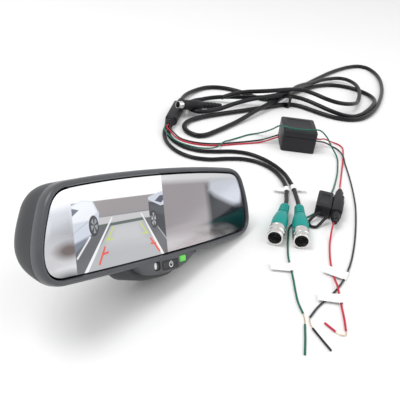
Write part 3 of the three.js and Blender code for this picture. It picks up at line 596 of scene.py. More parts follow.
def around(count, wide, high, first):
    """Places spaced evenly round an oval, the first at an angle in degrees."""
    turns = [math.radians(first + 360 / count * i) for i in range(count)]
    return [(wide * math.cos(turn), high * math.sin(turn)) for turn in turns]


# %% Outlines and sweeps
def outline(name, anchors, depth=0.0):
    """A closed Bezier line through (handle, point, handle) anchors in millimetres."""
    unselect()
    bpy.ops.curve.primitive_bezier_circle_add(radius=1)
    line = bpy.context.object
    line.name = name
    line.data.dimensions, line.data.resolution_u = "3D", 14
    points = line.data.splines[0].bezier_points
    points.add(len(anchors) - len(points))
    for point, (before, middle, after) in zip(points, anchors):
        point.handle_left_type = point.handle_right_type = "FREE"
        point.handle_left = Vector((*before, depth)) * MM
        point.co = Vector((*middle, depth)) * MM
        point.handle_right = Vector((*after, depth)) * MM
    return line


def slab(name, anchors, low, high, edge=0.0):
    """An outline filled and pushed from one height to another, its rims rounded."""
    piece = outline(name, anchors, low)
    bpy.ops.object.convert(target="MESH")
    edit(piece)
    bpy.ops.mesh.edge_face_add()
    bpy.ops.mesh.extrude_region_move(TRANSFORM_OT_translate={"value": (0, 0, (high - low) * MM)})
    close(piece)
    if edge:
        rims = (low * MM, high * MM)
        edit(piece, "EDGE",
             lambda a, b: abs(a.z - b.z) < 1e-7 and min(abs(a.z - z) for z in rims) < 1e-7)
        bpy.ops.mesh.bevel(offset=edge * MM, segments=3, affect="EDGES")
        close(piece)
    return piece


def sweep(name, anchors, section, cyclic=True):
    """A section of (outwards, height) points in millimetres, carried round an outline."""
    path = outline(name, anchors)
    bpy.ops.curve.primitive_bezier_circle_add(radius=1)
    cutter = bpy.context.object
    cutter.data.dimensions = "2D"
    cutter.data.splines.clear()
    spline = cutter.data.splines.new("POLY")
    spline.points.add(len(section) - 1)
    for point, (out, height) in zip(spline.points, section):
        point.co = (out * MM, height * MM, 0, 1)
    spline.use_cyclic_u = cyclic
    path.data.bevel_mode, path.data.bevel_object = "OBJECT", cutter
    activate(path)
    bpy.ops.object.convert(target="MESH")
    bpy.data.objects.remove(cutter)
    edit(path)
    return close(path)


# %% [markdown]
# ## The mirror head
# The head is modelled lying straight, X along its width, Y up and Z out of the glass, and is
# then leaned back into place. Its axes come from the joints: the button presses straight into
# the head, and the mount's tilt axis runs along it.

# %% The head's own frame
HEAD_X = Vector(joints["mirror_tilt"]["axis"]).normalized()
HEAD_Z = -Vector(joints["button_press"]["axis"]).normalized()
HEAD_Y = HEAD_Z.cross(HEAD_X)
# The ball that the mount holds the head by, in the head's own frame.
HEAD_BALL = Vector((0, 12, -45.5)) * MM
head_turn = Matrix((HEAD_X, HEAD_Y, HEAD_Z)).transposed()
head_start = Vector(joints["mirror_tilt"]["pos_m"]) - head_turn @ HEAD_BALL
HEAD = Matrix.Translation(head_start) @ head_turn.to_4x4()

GLASS = [
    [(-115, -22.3), (-106, -22.3), (-40, -22.9)],
    [(50, -21), (105, -16.7), (113, -16)],
    [(118, -13), (119, -5), (119.8, 6)],
    [(117, 17), (113, 27), (110.5, 33)],
    [(106, 35.6), (98, 36.8), (45, 41.6)],
    [(-45, 41.2), (-97, 35.8), (-105, 35)],
    [(-110.5, 31.5), (-114, 23.5), (-118, 13)],
    [(-122.3, 1), (-121.7, -9), (-121, -18.5)],
]


def chin(grow, top):
    """The swelling under the glass that holds the button, grown by a few millimetres."""
    left, right, foot = -42 - grow, 36 + grow, grow
    return [
        [(left, top + 1), (left, top), (left + 6, -27)],
        [(-33 - grow, -33.5 - foot), (-25, -35.4 - foot), (-14, -36.8 - foot)],
        [(-4, -36.9 - foot), (6, -36.3 - foot), (20, -35 - foot)],
        [(25 + grow, -30), (34 + grow, -26.5), (right - 1, -25.5)],
        [(right, top - 1), (right, top), (right - 1, top)],
    ]


# %% [markdown]
# The bezel is a frame of constant section round a free-form outline, so it is swept: the
# section is drawn once, with a rounded crest and a deep inner wall that leaves the dark line
# round the glass. The chin is joined to it, and the key and both windows are cut through.

# %% Bezel
BEZEL_BACK = -7.7
BEZEL_SECTION = [
    (5.1, BEZEL_BACK), (5.4, -7.2), (5.4, -2.2), (5.3, -1.0), (4.95, 0.1), (4.4, 1.0), (3.7, 1.6),
    (3.0, 1.8), (2.4, 1.7), (1.9, 1.3), (1.5, 0.6), (1.3, -0.3), (1.25, BEZEL_BACK),
]
WINDOWS = {
    "key": [(-10, -34.4), (10.2, -27.2), 1.5],
    "status": [(12.2, -31.8), (21.4, -25.8), 1.0],
    "sensor": [(-19.6, -33.4), (-12, -26.4), 2.2],
}
bezel = sweep("bezel", GLASS, BEZEL_SECTION)
combine(bezel, [slab("bezel_chin", chin(0, -25), BEZEL_BACK + 0.05, 1.5, 0.9)])
for name, (low, high, corner) in WINDOWS.items():
    combine(bezel, [block(f"opening_{name}", (*low, -12), (*high, 8), corner, 0.1)], "DIFFERENCE")
soften(bezel, 0.12, angle=60)
settle(bezel, HEAD, bezel_plastic, "front_bezel", smooth=32)

# %% [markdown]
# The rear shell starts as a short band behind the bezel. Its back rim is drawn on in steps:
# each extrusion goes a little deeper, and is scaled towards the middle, so the sides roll over
# into the flat back. The lower side is pulled up as it goes, which thins the head at its foot.
# The chin is hollowed behind the key before it is joined on, so that the key can be pressed.

# %% Rear shell
PARTING, SHELL_WALL = -8.0, 2.4
HALF_WIDE, HALF_HIGH, MIDDLE = 120, 32, 9
LIFT, ARCH_TOP, ARCH_HIGH = 0.42, 46, 75
SHELL_STEPS = [
    (5.0, -9), (5.0, -12), (4.9, -15), (4.6, -18.5), (4.0, -22), (3.0, -25), (1.4, -28), (-0.9, -30.7),
    (-4.2, -33), (-8, -34.8), (-13, -36),
]


def drawn_up(height):
    """How much of its breadth the shell keeps at a height, as its foot is drawn up."""
    return 1 - LIFT * (PARTING - height) / ARCH_HIGH


shell = sweep("shell", GLASS, [(4.7, PARTING), (5.0, PARTING - 0.4), SHELL_STEPS[0]], cyclic=False)
edit(shell, "VERT", lambda co: abs(co.z - SHELL_STEPS[0][1] * MM) < 1e-6)
for (out, height), (further, deeper) in zip(SHELL_STEPS, SHELL_STEPS[1:]):
    bpy.ops.mesh.extrude_region_move(TRANSFORM_OT_translate={"value": (0, 0, (deeper - height) * MM)})
    wide, high = (HALF_WIDE + further) / (HALF_WIDE + out), (HALF_HIGH + further) / (HALF_HIGH + out)
    bpy.ops.transform.resize(value=(wide, high, 1), center_override=(0, MIDDLE * MM, 0))
    raised = drawn_up(deeper) / drawn_up(height)
    bpy.ops.transform.resize(value=(1, raised, 1), center_override=(0, ARCH_TOP * MM, 0))
bpy.ops.mesh.edge_face_add()
bpy.ops.mesh.inset(thickness=6 * MM)
close(shell)
wall = shell.modifiers.new("wall", "SOLIDIFY")
wall.thickness, wall.offset = SHELL_WALL * MM, -1
activate(shell)
bpy.ops.object.modifier_apply(modifier="wall")
shell_chin = slab("shell_chin", chin(4.4, -24), -32, PARTING - 0.1, 1.6)
key_room = block("key_room", (-11.5, -35.4, -12), (11.7, -26.2, -7), 1.5, 0.3)
combine(shell_chin, [key_room], "DIFFERENCE")
combine(shell, [shell_chin])
SCREW_BORE = [(3.7, -37), (3.7, -34.2), (1.9, -34.2), (1.9, -30)]
SOCKET_BORE = [(7.3, -38), (7.3, -30)]
bores = [turned("bore", SCREW_BORE, 24, centre=(x, y)) for y in (20, -2) for x in (-82, 82)]
bores.append(turned("socket_bore", SOCKET_BORE, 32, centre=(46, 12)))
combine(shell, bores, "DIFFERENCE")
settle(shell, HEAD, shell_plastic, "rear_shell", smooth=30)

# %% [markdown]
# ## The glass and its picture
# Behind the two-way glass a small screen shows the view to the rear. The glass is a thin plate
# with a ground edge. Its finish has two parts, split by place: over the screen it glows with
# the picture, and beside it it is a mirror with painted reflections: soft patches of painted
# light and shade in its colour, as a car's inside would look in it. The picture is built up like
# a painting: each layer is a mask from a few straight edges.

# %% Masks measured on the head
def head_place(finish):
    """The place on the head, in millimetres along its own axes."""
    settings = {"Vector": finish.place(), "Location": HEAD.translation, "Rotation": HEAD.to_euler()}
    settings["Scale"] = (MM, MM, MM)
    return finish.node("ShaderNodeMapping", {"vector_type": "TEXTURE"}, settings)


class Canvas:
    """A colour built up in layers over a finish, in screen levels, through masks in head millimetres."""

    def __init__(self, finish, ground):
        self.finish = finish
        self.colour = finish.mix(0.0, shade(*ground), shade(*ground))
        flattened = {0: head_place(finish), 1: (1, 1, 0), 2: (0, 0, 1)}
        self.spot = finish.node("ShaderNodeVectorMath", {"operation": "MULTIPLY_ADD"}, flattened)

    def edges(self, corners, soft):
        """A mask inside a convex outline whose corners run anticlockwise."""
        nearest = None
        for (ax, ay), (bx, by) in zip(corners, corners[1:] + corners[:1]):
            long = math.hypot(bx - ax, by - ay) * soft
            row = ((ay - by) / long, (bx - ax) / long, (ax * (by - ay) - ay * (bx - ax)) / long + 0.5)
            side = self.finish.node(
                "ShaderNodeVectorMath", {"operation": "DOT_PRODUCT"}, {0: self.spot, 1: row}, "Value")
            nearest = side if nearest is None else nearest.lowest(side)
        return nearest.mask()

    def lay(self, mask, colour):
        self.colour = self.finish.mix(mask, self.colour, shade(*colour))

    def oval(self, colour, centre, wide, high, soft=0.6):
        near = self.finish.node("ShaderNodeMapping", {"vector_type": "TEXTURE"}, {
            "Vector": self.spot, "Location": (*centre, 1), "Scale": (wide, high, 1)})
        far = self.finish.node("ShaderNodeVectorMath", {"operation": "LENGTH"}, {0: near}, "Value")
        self.lay(((1 - far) * (min(wide, high) / soft) + 0.5).mask(), colour)

    def fill(self, colour, corners, soft=0.5):
        self.lay(self.edges(corners, soft), colour)

    def stroke(self, colour, start, end, wide, wide_end=None, soft=0.4):
        """A straight line with its own width at each end."""
        (ax, ay), (bx, by) = start, end
        long = math.hypot(bx - ax, by - ay)
        nx, ny = (ay - by) / long / 2, (bx - ax) / long / 2
        w, v = wide, wide if wide_end is None else wide_end
        self.fill(colour, [(ax - nx * w, ay - ny * w), (bx - nx * v, by - ny * v),
                           (bx + nx * v, by + ny * v), (ax + nx * w, ay + ny * w)], soft)


# %% The picture on the screen
def wheel(tyre_at, tyre, rim_at, rim, colours, first, spoke_end):
    """A wheel seen at a slant: tyre, rim and five spokes that widen outwards."""
    tyre_colour, rim_colour, spoke_colour = colours
    picture.oval(tyre_colour, tyre_at, *tyre)
    picture.oval(rim_colour, rim_at, *rim)
    for across, along in around(5, rim[0] + 0.1, rim[1] + 0.1, first):
        picture.stroke(spoke_colour, rim_at, (rim_at[0] + across, rim_at[1] + along), 0.3, spoke_end)


glass_finish = Finish("mirror_glass", shade(150, 150, 155), roughness=0.07, metallic=1.0, coat_weight=0.4,
                      coat_roughness=0.03, emission_strength=1.0)
picture = Canvas(glass_finish, (92, 93, 98))

# The road and its lane lines, with what lines it and the sky beyond.
picture.fill((176, 178, 182), [(-90, -24), (-3, -24), (-26, 8), (-59, 8)])
picture.fill((196, 197, 200), [(-68, -8), (-24, -8), (-30, 8), (-57, 8)], 10)
picture.fill((150, 145, 147), [(-97, 13.8), (1, 14.6), (1, 26.2), (-97, 25.4)])
picture.fill((196, 196, 198), [(-97, 8.2), (1, 9.0), (1, 14), (-97, 13.6)], 0.8)
picture.fill((84, 98, 92), [(-72, 6.4), (-24, 7.4), (-24, 9.6), (-72, 8.6)], 0.6)
picture.fill((250, 251, 253), [(-97, 25.4), (1, 26.2), (1, 46), (-97, 46)])
picture.stroke((238, 240, 242), (-58.6, 12.6), (-88.5, -23), 1.1, 2.8)
picture.stroke((238, 238, 236), (-27.5, 13), (-5, -23), 1.1, 2.8)

# The pale car on the left.
picture.fill((206, 212, 224), [
    (-98, -8), (-86, -1), (-73, 7), (-71, 17), (-76, 25.6), (-86, 27), (-98, 23.5)])
picture.fill((236, 240, 246), [(-98, 12), (-80, 13), (-73, 18), (-77, 25.4), (-86, 26.6), (-98, 23)], 1.6)
picture.fill((96, 104, 122), [(-98, 15.5), (-89.5, 20.6), (-98, 22.6)], 0.6)
picture.stroke((170, 178, 192), (-97, 5), (-82, 12), 0.5)
picture.fill((120, 128, 142), [(-98, -9), (-86, -2), (-82, 2), (-98, -2)], 2)
picture.stroke((226, 228, 232), (-81, 1.5), (-95, -12), 1.5)
wheel((-77, 8.6), (4.6, 7.2), (-76.6, 8.6), (3.2, 5.2),
      [(38, 40, 46), (150, 154, 160), (58, 60, 66)], 90, 2.0)

# The dark car on the right.
picture.fill((50, 53, 60), [(-18, 10), (-9.5, 1), (2, -11), (2, 18), (-6, 19), (-18, 22)])
picture.fill((74, 78, 86), [(-17, 13), (-5, 10), (2, 8), (2, 15), (-6, 17), (-17, 19)], 2.5)
picture.fill((204, 210, 222), [(-18, 22), (-4, 16.5), (2, 17), (2, 28), (-6, 26.8), (-18, 24)])
picture.fill((70, 76, 92), [(-10.5, 20.6), (-3, 18.6), (2, 22), (2, 24.6), (-4, 24.4)], 0.5)
picture.stroke((198, 200, 204), (-9.5, 0.5), (1, -11.4), 0.6)
wheel((-13.2, 6.6), (3.8, 6.8), (-13.4, 6.6), (2.6, 5.0),
      [(30, 31, 35), (176, 179, 184), (44, 46, 51)], 54, 1.7)

# Distance guides, the same on both sides.
FAR_GUIDE, NEAR_GUIDE, GUIDE_SOFT = (198, 214, 96), (226, 72, 52), 0.7
for foot_x, head_x, inwards in ((-75, -58, 1), (-9.5, -29.5, -1)):
    for colour, start, end, wide, wide_end in (
            (FAR_GUIDE, (head_x, 6), (head_x - 8 * inwards, -4), 1.0, 1.4),
            (FAR_GUIDE, (head_x - 8 * inwards, -2.6), (head_x - 1.5 * inwards, -2.6), 1.1, 1.1),
            (NEAR_GUIDE, (head_x - 10 * inwards, -7), (foot_x, -19), 1.5, 1.9),
            (NEAR_GUIDE, (foot_x + 3.6 * inwards, -12.2), (foot_x + 10 * inwards, -11.4), 1.5, 1.5)):
        picture.stroke(colour, start, end, wide, wide_end, GUIDE_SOFT)
print("picture layers:", len(picture.finish.tree.nodes), "nodes")

# %% Painted reflections in the mirror beside the screen
# Painted reflections: every layer below is a patch of painted light or shade, as a car's inside would look
# in the mirror, laid into the glass's colour.
mirror = Canvas(glass_finish, (172, 166, 169))
mirror.fill((228, 228, 232), [(-130, -30), (-90, -30), (-90, 46), (-130, 46)], 1)
mirror.fill((176, 178, 184), [(-121, 0), (-92, 0), (-92, 28), (-121, 26)], 14)
mirror.oval((132, 122, 120), (-101, -5), 11, 5, 5)
mirror.oval((110, 111, 116), (-103, -24), 16, 5, 6)
mirror.fill((236, 236, 238), [(-90, 36.5), (130, 31), (130, 60), (-90, 60)], 5)
mirror.fill((206, 203, 206), [(-10, -40), (70, -40), (60, -9), (-10, -11)], 8)
mirror.fill((56, 58, 66), [(62, -11), (130, -30), (130, 22), (60, 27)], 9)
mirror.fill((216, 221, 232), [(63, 24), (84, 10.5), (103, 7.5), (124, 0), (124, 34), (66, 33)], 6)
mirror.oval((150, 150, 154), (82, -17), 14, 7, 6)
mirror.oval((70, 73, 82), (117, 11), 4, 7, 5)

SCREEN_LEFT, SCREEN_RIGHT, BEYOND = -96, 0, 60
on_screen = picture.edges([(SCREEN_LEFT, -BEYOND), (SCREEN_RIGHT, -BEYOND), (SCREEN_RIGHT, BEYOND),
                           (SCREEN_LEFT, BEYOND)], 0.5)
smudge = glass_finish.noise(24, 4)
dark = (0.012, 0.012, 0.014)
# Beside the screen the base colour carries the painted reflections; over the screen the glass is dark.
glass_finish.drive("Base Color", glass_finish.mix(on_screen, mirror.colour, dark))
glass_finish.drive("Emission Color", glass_finish.mix(on_screen, (0.0, 0.0, 0.0), picture.colour))
glass_finish.drive("Metallic", 1 - on_screen)
glass_finish.drive("Roughness", smudge * 0.05 + 0.16)

# %% The glass plate
glass = slab("glass", GLASS, -3, 0, 0.35)
settle(glass, HEAD, glass_finish.material, "mirror_glass")

# %% [markdown]
# ## The key and the two windows
# The key stands a little proud of the chin and carries the usual power mark, an open ring and
# a short bar, painted on by the same kind of mask. One window glows green when the screen is
# on, and the other holds the light sensor, a dark slot with a painted highlight at its side.

# %% Power key
MARK, MARK_RING, MARK_LINE, MARK_SOFT = (0.6, -30.8), 2.1, 0.62, 0.2
PRINT_WHITE, KEY_GREY = (240, 240, 240), (38, 38, 42)
key_finish = Finish("power_key_print", shade(36, 36, 40), roughness=0.36)
key_print = Canvas(key_finish, KEY_GREY)
for colour, radius in ((PRINT_WHITE, MARK_RING + MARK_LINE / 2), (KEY_GREY, MARK_RING - MARK_LINE / 2)):
    key_print.oval(colour, MARK, radius, radius, MARK_SOFT)
bar_top = (MARK[0], MARK[1] + 3)
key_print.stroke(KEY_GREY, MARK, bar_top, 1.9, soft=MARK_SOFT)
key_print.stroke(PRINT_WHITE, (MARK[0], MARK[1] + 0.2), bar_top, MARK_LINE, soft=MARK_SOFT)
key_finish.drive("Base Color", key_print.colour)
key_finish.bump(key_finish.noise(1900, 2), 0.00002, 0.4)

WINDOW_FOOT = -7.6


def inset_block(name, window, top, edge):
    """A block that fills a window but for the gap round it."""
    (ax, ay), (bx, by), corner = WINDOWS[window]
    return block(name, (ax + GAP, ay + GAP, WINDOW_FOOT), (bx - GAP, by - GAP, top), corner - GAP, edge)


def dish(piece, top, rim, depth):
    """Sinks the top face by a depth, inside a rim."""
    edit(piece, "FACE", lambda centre, normal: normal.z > 0.99 and centre.z > (top - 0.1) * MM)
    bpy.ops.mesh.inset(thickness=rim * MM, depth=-depth * MM)
    return close(piece)


key = dish(inset_block("power_key", "key", 1.9, 0.55), 1.9, 0.7, 0.12)
settle(key, HEAD, key_finish.material, "power_button", body="power_button", slot="button_plastic")

# %% Windows
green_glow = Finish("status_glow", shade(48, 160, 54), roughness=0.22, coat_weight=0.3,
                    emission_strength=0.12)
glow = Canvas(green_glow, (52, 166, 58))
glow.oval((104, 204, 84), (17.4, -27.8), 5, 3, 3.5)
green_glow.drive("Base Color", glow.colour)
green_glow.drive("Emission Color", glow.colour)
status = inset_block("status_lens", "status", 1.35, 0.5)
settle(status, HEAD, green_glow.material, "status_window", slot="green_window")

smoked = Finish("smoked_lens", shade(16, 16, 20), roughness=0.1, coat_weight=0.6)
lens = Canvas(smoked, (14, 14, 18))
# A painted highlight: a pale oval on the dark lens where light would catch it.
lens.oval((226, 228, 232), (-17.2, -29.6), 1.7, 2.6, 0.7)
smoked.drive("Base Color", lens.colour)
sensor = dish(inset_block("sensor_lens", "sensor", 1.0, 0.8), 1.0, 0.6, 0.5)
settle(sensor, HEAD, smoked.material, "sensor_window", slot="smoked_window")

# %% Inside the head and on its back
screen_finish = Finish("display_film", shade(120, 124, 130), roughness=0.25, coat_weight=0.5)
screen_finish.drive("Roughness", screen_finish.noise(90, 2) * 0.1 + 0.2)
dress(screen_finish.material, "display_panel")
dress(tray_metal, "backlight_tray")
dress(board.material, "main_board", "button_board", "filter_board")
dress(black_plastic, "mirror_socket", "socket_insert")
dress(steel, "foot_screw", *(f"shell_screw_{i}" for i in (1, 2, 3, 4)))
dress(copper, "filter_choke")
dress(amber.material, "blade_fuse")
dress(mount_plastic, "windshield_foot")
dress(zinc, "mount_arm")

# %% [markdown]
# ## The mount
# A ball on the arm sits in a cup on the mirror's back. The cup is a ring with an inner seat,
# so its profile goes up the outside, over the rim and back down the bore.

# %% Ball cup
CUP_PROFILE = [
    (7.4, -50.5), (10.6, -50.5), (11.6, -50.1), (12.5, -49), (12.7, -47), (13, -40), (13.4, -39.2),
    (15, -38.8), (15.4, -38.3), (15.4, -36.3), (9, -36.3), (9, -45), (8.5, -48), (7.4, -50.5),
]
cup = turned("ball_cup", CUP_PROFILE, 56, ring=True, centre=(0, 12))
settle(cup, HEAD, mount_plastic, "pivot_cup", slot="shell_plastic")

# %% [markdown]
# ## The harness's mouldings
# Every moulding on the harness lies along a cable, so each is modelled upright, with Z along
# its cable, and then laid in place with the matrix of a line between two points.

# %% Lying along a line
def aimed(start, end):
    """Z along a line from one point to another, in millimetres, with X level."""
    along = (Vector(end) - Vector(start)).normalized()
    across = Vector((0, 0, 1)).cross(along).normalized()
    turn = Matrix((across, along.cross(across), along)).transposed()
    return Matrix.Translation(Vector(start) * MM) @ turn.to_4x4()


def span(start, end):
    return (Vector(end) - Vector(start)).length


def ribs(core, first, pitch, thick, radii):
    """Profile steps for rounded ribs of given radii, standing on a core."""
    steps = []
    for i, radius in enumerate(radii):
        low = first + pitch * i
        steps += [(core, low), (radius - 0.4, low), (radius, low + 0.5), (radius, low + thick - 0.5),
                  (radius - 0.4, low + thick), (core, low + thick)]
    return steps


# %% Junction block
JUNCTION_FROM, JUNCTION_TO = (249, 123, 6.2), (333, 160, 6.2)
junction_long = span(JUNCTION_FROM, JUNCTION_TO)
junction = block("junction", (-7.6, -5.6, 17), (7.6, 5.6, junction_long - 17), 3, 1.4)
lower_ribs = ribs(4.2, 1, 5.2, 3.4, [5, 5.4, 5.8])
upper_ribs = ribs(3.8, 0, 5.2, 3.4, [5.4, 4.9, 4.4])
upper_ribs = [(radius, junction_long - 14.8 + high) for radius, high in upper_ribs]
combine(junction, [
    turned("lower_relief", [(3.9, 0)] + lower_ribs + [(4.6, 20)], 24),
    turned("upper_relief", [(4.6, junction_long - 20)] + upper_ribs + [(3.4, junction_long)], 24),
])
settle(junction, aimed(JUNCTION_FROM, JUNCTION_TO), rubber, "junction_block")

# %% Plug for the mirror's socket
PLUG_TIP, PLUG_TAIL = (288, 137, 19.4), (363, 115, 4.6)
plug_place, plug_long = aimed(PLUG_TIP, PLUG_TAIL), span(PLUG_TIP, PLUG_TAIL)
SLEEVE_PROFILE = [(4.6, 8), (4.7, 7.9), (4.7, 0.3), (4.5, 0), (4.2, 0), (4.1, 0.2), (4.1, 6)]
plug_shell = turned("plug_sleeve", SLEEVE_PROFILE, 36)
settle(plug_shell, plug_place, nickel, "plug_shell")
plug_face = turned("plug_face", [(3.7, 5.7), (3.7, 3.6), (3.5, 3.4)], 28)
PIN_PROFILE = [(0.45, 3.6), (0.45, 1.3), (0.3, 1)]
combine(plug_face, [turned("pin", PIN_PROFILE, 8, centre=place) for place in around(6, 2.4, 2.4, 30)])
settle(plug_face, plug_place, black_plastic, "plug_pins")
HANDLE_PROFILE = [
    (5.4, 8.3), (6, 8.7), (6.6, 10), (6.6, 35), (6.4, 37), (5.2, 44), (3.7, 44.6),
    *ribs(3.7, 46, 6.6, 4, [4.8, 4.6, 4.4, 4.2]), (3.4, plug_long),
]
plug_grip = turned("plug_handle", HANDLE_PROFILE, 36)
for z in (15, 18.5, 22, 25.5, 29):
    groove = [(7.2, z), (7.2, z + 0.7), (6.15, z + 0.7), (6.15, z), (7.2, z)]
    combine(plug_grip, [turned("groove", groove, 36, ring=True)], "DIFFERENCE")
settle(plug_grip, plug_place, rubber, "plug_grip")

# %% Cable tie
TIE_AT, TIE_BAND = Vector((447, 59.5, 8.4)), (4.5, 12.25, 8.1)
tie = block("tie", [-x for x in TIE_BAND], TIE_BAND, 1.8, 1.2)
combine(tie, [block("tie_hole", (-9, -11, -7.1), (9, 11, 7), 1.2, 0.5)], "DIFFERENCE")
settle(tie, Matrix.Translation(TIE_AT * MM), black_plastic, "cable_tie")

# %% [markdown]
# ## Camera sockets
# Each camera lead ends in a teal overmould with a ribbed neck, and a nickel ring that turns on
# it. Inside the ring is a black face with four contacts.

# %% Camera sockets
SOCKETS = [((170, -78, 8.4), (109.5, -96.5, 8.4)), ((178.5, -90, 8.4), (123, -118, 8.4))]
GRIP_PROFILE = [
    (3.4, 0), (4.2, 0.3), *ribs(4.1, 1, 4, 2.6, [4.9, 5.1, 5.3, 5.5]), (5.2, 17.2), (5.6, 17.6),
    (6.6, 21), (7.6, 27.5), (8.0, 31), (8.1, 33), (8.1, 45), (7.8, 45.8), (5.9, 46), (5.9, 50),
]
RING_PROFILE = [
    (6.3, 46.4), (7.5, 46.4), (8.1, 46.9), (8.3, 47.5), (8.3, 49), (8.0, 49.3), (8.0, 50), (8.3, 50.3),
    (8.3, 55.6), (8.0, 56.2), (7.8, 56.6), (7.8, 57.2), (7.95, 57.4), (7.95, 62.4), (7.7, 62.9),
    (6.9, 63), (6.5, 62.8), (6.3, 62.4), (6.3, 46.4),
]
FACE_PROFILE = [(5.9, 50.3), (5.9, 55.4), (5.6, 55.8), (4.9, 55.8), (4.7, 54.6)]
HOLE_PROFILE = [(0.95, 52), (0.95, 57)]
for number, (tail, front) in enumerate(SOCKETS, 1):
    place = aimed(tail, front)
    grip = turned(f"camera_grip_{number}", GRIP_PROFILE, 40)
    for flat_x in (-8.6, 8.6):
        flat = block("flat", (flat_x - 1.1, -4, 30), (flat_x + 1.1, 4, 44), 0.5, 0.4)
        combine(grip, [flat], "DIFFERENCE")
    settle(grip, place, teal, f"connector_grip_{number}")
    ring = turned(f"camera_ring_{number}", RING_PROFILE, 48, ring=True)
    body = f"connector_ring_{number}"
    settle(ring, place, nickel, body, body=body)
    face = turned(f"camera_face_{number}", FACE_PROFILE, 36)
    holes = [turned("hole", HOLE_PROFILE, 16, centre=centre) for centre in around(4, 2.6, 2.6, 45)]
    combine(face, holes, "DIFFERENCE")
    settle(face, place, black_plastic, f"connector_insert_{number}")

# %% [markdown]
# ## Noise filter box
# Two shells meet at a seam. They are separate pieces with the seam's gap between them, and
# both have softly rounded edges.

# %% Filter box
FILTER_AT, FILTER_TURN = Vector((336, -14, 0)), math.radians(-59)
FILTER_PLACE = Matrix.Translation(FILTER_AT * MM) @ Matrix.Rotation(FILTER_TURN, 4, "Z")
FILTER_WIDE, FILTER_DEEP, FILTER_SPLIT, FILTER_HIGH, FILTER_WALL = 42, 46, 19, 27, 2


def filter_block(name, shrink, low, high, edge):
    x, y = FILTER_WIDE / 2 - shrink, FILTER_DEEP / 2 - shrink
    return block(name, (-x, -y, low), (x, y, high), 3.5 - shrink, edge)


filter_base = filter_block("filter_tub", 0, 0, FILTER_SPLIT, 0.7)
combine(filter_base, [filter_block("tub_hollow", FILTER_WALL, FILTER_WALL, 25, 0.2)], "DIFFERENCE")
settle(filter_base, FILTER_PLACE, black_plastic, "filter_base")
filter_lid = filter_block("filter_cover", 0, FILTER_SPLIT + GAP, FILTER_HIGH, 0.8)
combine(filter_lid, [
    filter_block("cover_hollow", FILTER_WALL, 16, FILTER_HIGH - FILTER_WALL, 0.2),
    block("cover_panel", (-15, -17, 26.6), (15, 17, 30), 2, 0.2),
], "DIFFERENCE")
settle(filter_lid, FILTER_PLACE, black_plastic, "filter_lid")

# %% [markdown]
# ## Fuse holder
# The holder's cap comes off sideways to reach the fuse, and hangs from a rubber strap.

# %% Fuse holder
FUSE_BOTTOM, FUSE_TOP, FUSE_LONG = (177, -128.5, 8.4), (245, -107.5, 8.4), 33
fuse_place, fuse_span = aimed(FUSE_BOTTOM, FUSE_TOP), span(FUSE_BOTTOM, FUSE_TOP)
fuse_start = (fuse_span - FUSE_LONG) / 2 - 1.5
fuse_end = fuse_start + FUSE_LONG


def neck(name, low, high, from_end):
    """The round boot that a wire leaves by, tapering away from the holder."""
    profile = [(2.2, low), (2.7, low + 0.6), (2.7, low + 5), (3.9, low + 6), (4.3, low + 6.8), (4.3, high)]
    if from_end:
        profile = [(radius, low + high - z) for radius, z in reversed(profile)]
    return turned(name, profile, 28, centre=(-1, 0))


fuse_holder = block("fuse_holder", (-6.5, -5.8, fuse_start), (4.5, 5.8, fuse_end), 2, 0.8)
combine(fuse_holder, [
    block("fuse_tongue", (3.5, -3.6, fuse_start + 3), (8.5, 3.6, fuse_end - 3), 2, 0.3),
    neck("lower_boot", 0, fuse_start + 2, False),
    neck("upper_boot", fuse_end - 2, fuse_span, True),
    block("holder_rail", (-7.1, -3, fuse_start + 6), (-6, 3, fuse_end - 6), 0.5, 0.4),
])
fuse_slot = block("fuse_slot", (1.5, -0.8, fuse_start + 8), (10.5, 0.8, fuse_end - 8), 0.2, 0.1)
combine(fuse_holder, [fuse_slot], "DIFFERENCE")
settle(fuse_holder, fuse_place, rubber, "fuse_body")
fuse_cap = block("fuse_cover", (4.9, -5.9, fuse_start - 0.5), (20.5, 5.9, fuse_end + 0.5), 1.8, 0.9)
cover_room = block("cover_room", (0, -4, fuse_start + 2.4), (18.6, 4, fuse_end - 2.4), 1.5, 0.3)
combine(fuse_cap, [cover_room], "DIFFERENCE")
for wall_y in (-5.9, 5.9):
    low, high = (8, wall_y - 0.4, fuse_start + 7), (17, wall_y + 0.4, fuse_end - 7)
    combine(fuse_cap, [block("window", low, high, 0.3, 0.1)], "DIFFERENCE")
settle(fuse_cap, fuse_place, rubber, "fuse_cap", body="fuse_cap")

STRAP = 3
TETHER = [
    (187.2, -109.6, 7.4), (182, -108, 6.4), (175, -106.2, 4), (168.4, -106.6, 2.2), (165, -110.5),
    (167.2, -115), (172, -116.4, 2.6), (178.5, -117.6, 5.4), (184.6, -119.3, 8),
]
strap = lay_cable("fuse_strap", smooth_line(placed(TETHER, STRAP)), STRAP, rubber)
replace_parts(strap, "fuse_tether")

# %% [markdown]
# ## Labels and bare wire ends
# The labels are white paper wrapped round a wire, with the two ends stuck together as a flag.
# They are blank. Each wire ends in a few millimetres of bare strand with a slug of insulation
# left on its tip.

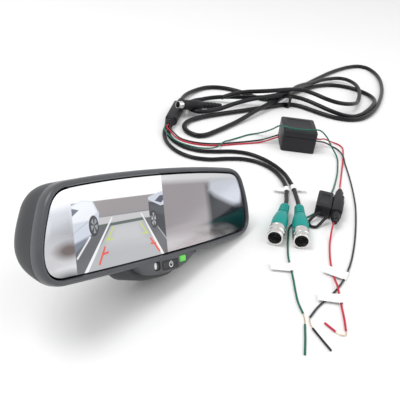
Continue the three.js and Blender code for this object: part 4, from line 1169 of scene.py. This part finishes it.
# %% Labels
LABELS = {
    "camera_label_1": ((211.5, -60.8, 3.4), (-17, -9.5), CAMERA_CABLE, 8, -11, 3.4),
    "camera_label_2": ((221, -64.8, 3.4), (-18, -13), CAMERA_CABLE, 8, 11, 3.4),
    "green_label": ((86.5, -125.4, 2), (-14, -9.3), WIRE, 11, -17, 2.4),
    "ground_label": ((108, -168.9, 2), (-12, -1.3), WIRE, 12, -18, 2.8),
    "power_label": ((74.5, -177.2, 2), (-8, -4.6), WIRE, 11, -18, 2.8),
}
for node, (middle, direction, cable, sleeve, flag, flag_z) in LABELS.items():
    inner = cable / 2 + 0.35
    outer = inner + 0.45
    half = sleeve / 2
    paper_ring = [(outer, -half), (outer, half), (inner, half), (inner, -half), (outer, -half)]
    wrap = turned(f"{node}_wrap", paper_ring, 24, ring=True)
    edit(wrap)
    bpy.ops.transform.rotate(value=math.radians(90), orient_axis="Y", center_override=(0, 0, 0))
    bpy.ops.object.mode_set(mode="OBJECT")
    near = math.copysign(outer - 0.3, flag)
    far = near + flag
    low = flag_z - middle[2] - 0.25
    combine(wrap, [block("flap", (-half, min(near, far), low), (half, max(near, far), low + 0.5), 0.3, 0.1)])
    turn = Matrix.Rotation(math.atan2(direction[1], direction[0]), 4, "Z")
    settle(wrap, Matrix.Translation(Vector(middle) * MM) @ turn, paper.material, node)

# %% Wire ends
STRAND = 1
ENDS_BARE = {
    "green_end": (green_wire, [(37.7, -159.8), (32, -163.6), (26.5, -166.4)], [(11, -173.6), (-4, -180)]),
    "black_end": (black_wire, [(36.6, -166), (31, -168.8), (26.6, -173)], [(20, -183), (13, -194)]),
    "red_end": (red_wire, [(41.1, -195.2), (37, -196.6), (34.4, -194), (35, -189)],
                [(37, -183.5), (39, -178)]),
}
for node, (finish, strand, slug) in ENDS_BARE.items():
    bare = lay_cable(f"{node}_strand", smooth_line(placed(strand, WIRE)), STRAND, copper)
    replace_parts(bare, node)
    covered = lay_cable(f"{node}_slug", smooth_line(placed(strand[-1:] + slug, WIRE)), WIRE, finish)
    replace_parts(covered, node)
print("harness pieces made")

# %% [markdown]
# ## The cords and their far ends

# %% Cords
run_length(bow_line)
CORD_ENDS = {
    "camera_cable_1": ("connector", [
        "camera_grip_1", "camera_ring_1", "camera_face_1", "camera_label_1_wrap"]),
    "camera_cable_2": ("connector", [
        "camera_grip_2", "camera_ring_2", "camera_face_2", "camera_label_2_wrap"]),
    "feed_red": ("object", []),
    "feed_black": ("object", ["filter_tub", "filter_cover"]),
    "trigger_green": ("bare", ["green_end_strand", "green_end_slug", "green_label_wrap"]),
    "power_red": ("object", []),
    "ground_black": ("bare", ["black_end_strand", "black_end_slug", "ground_label_wrap"]),
    "power_tail": ("bare", ["red_end_strand", "red_end_slug", "power_label_wrap"]),
}
for node, (far_end, pieces) in CORD_ENDS.items():
    diameter, _ = LEADS[node]
print(1 + len(CORD_ENDS), "cords")
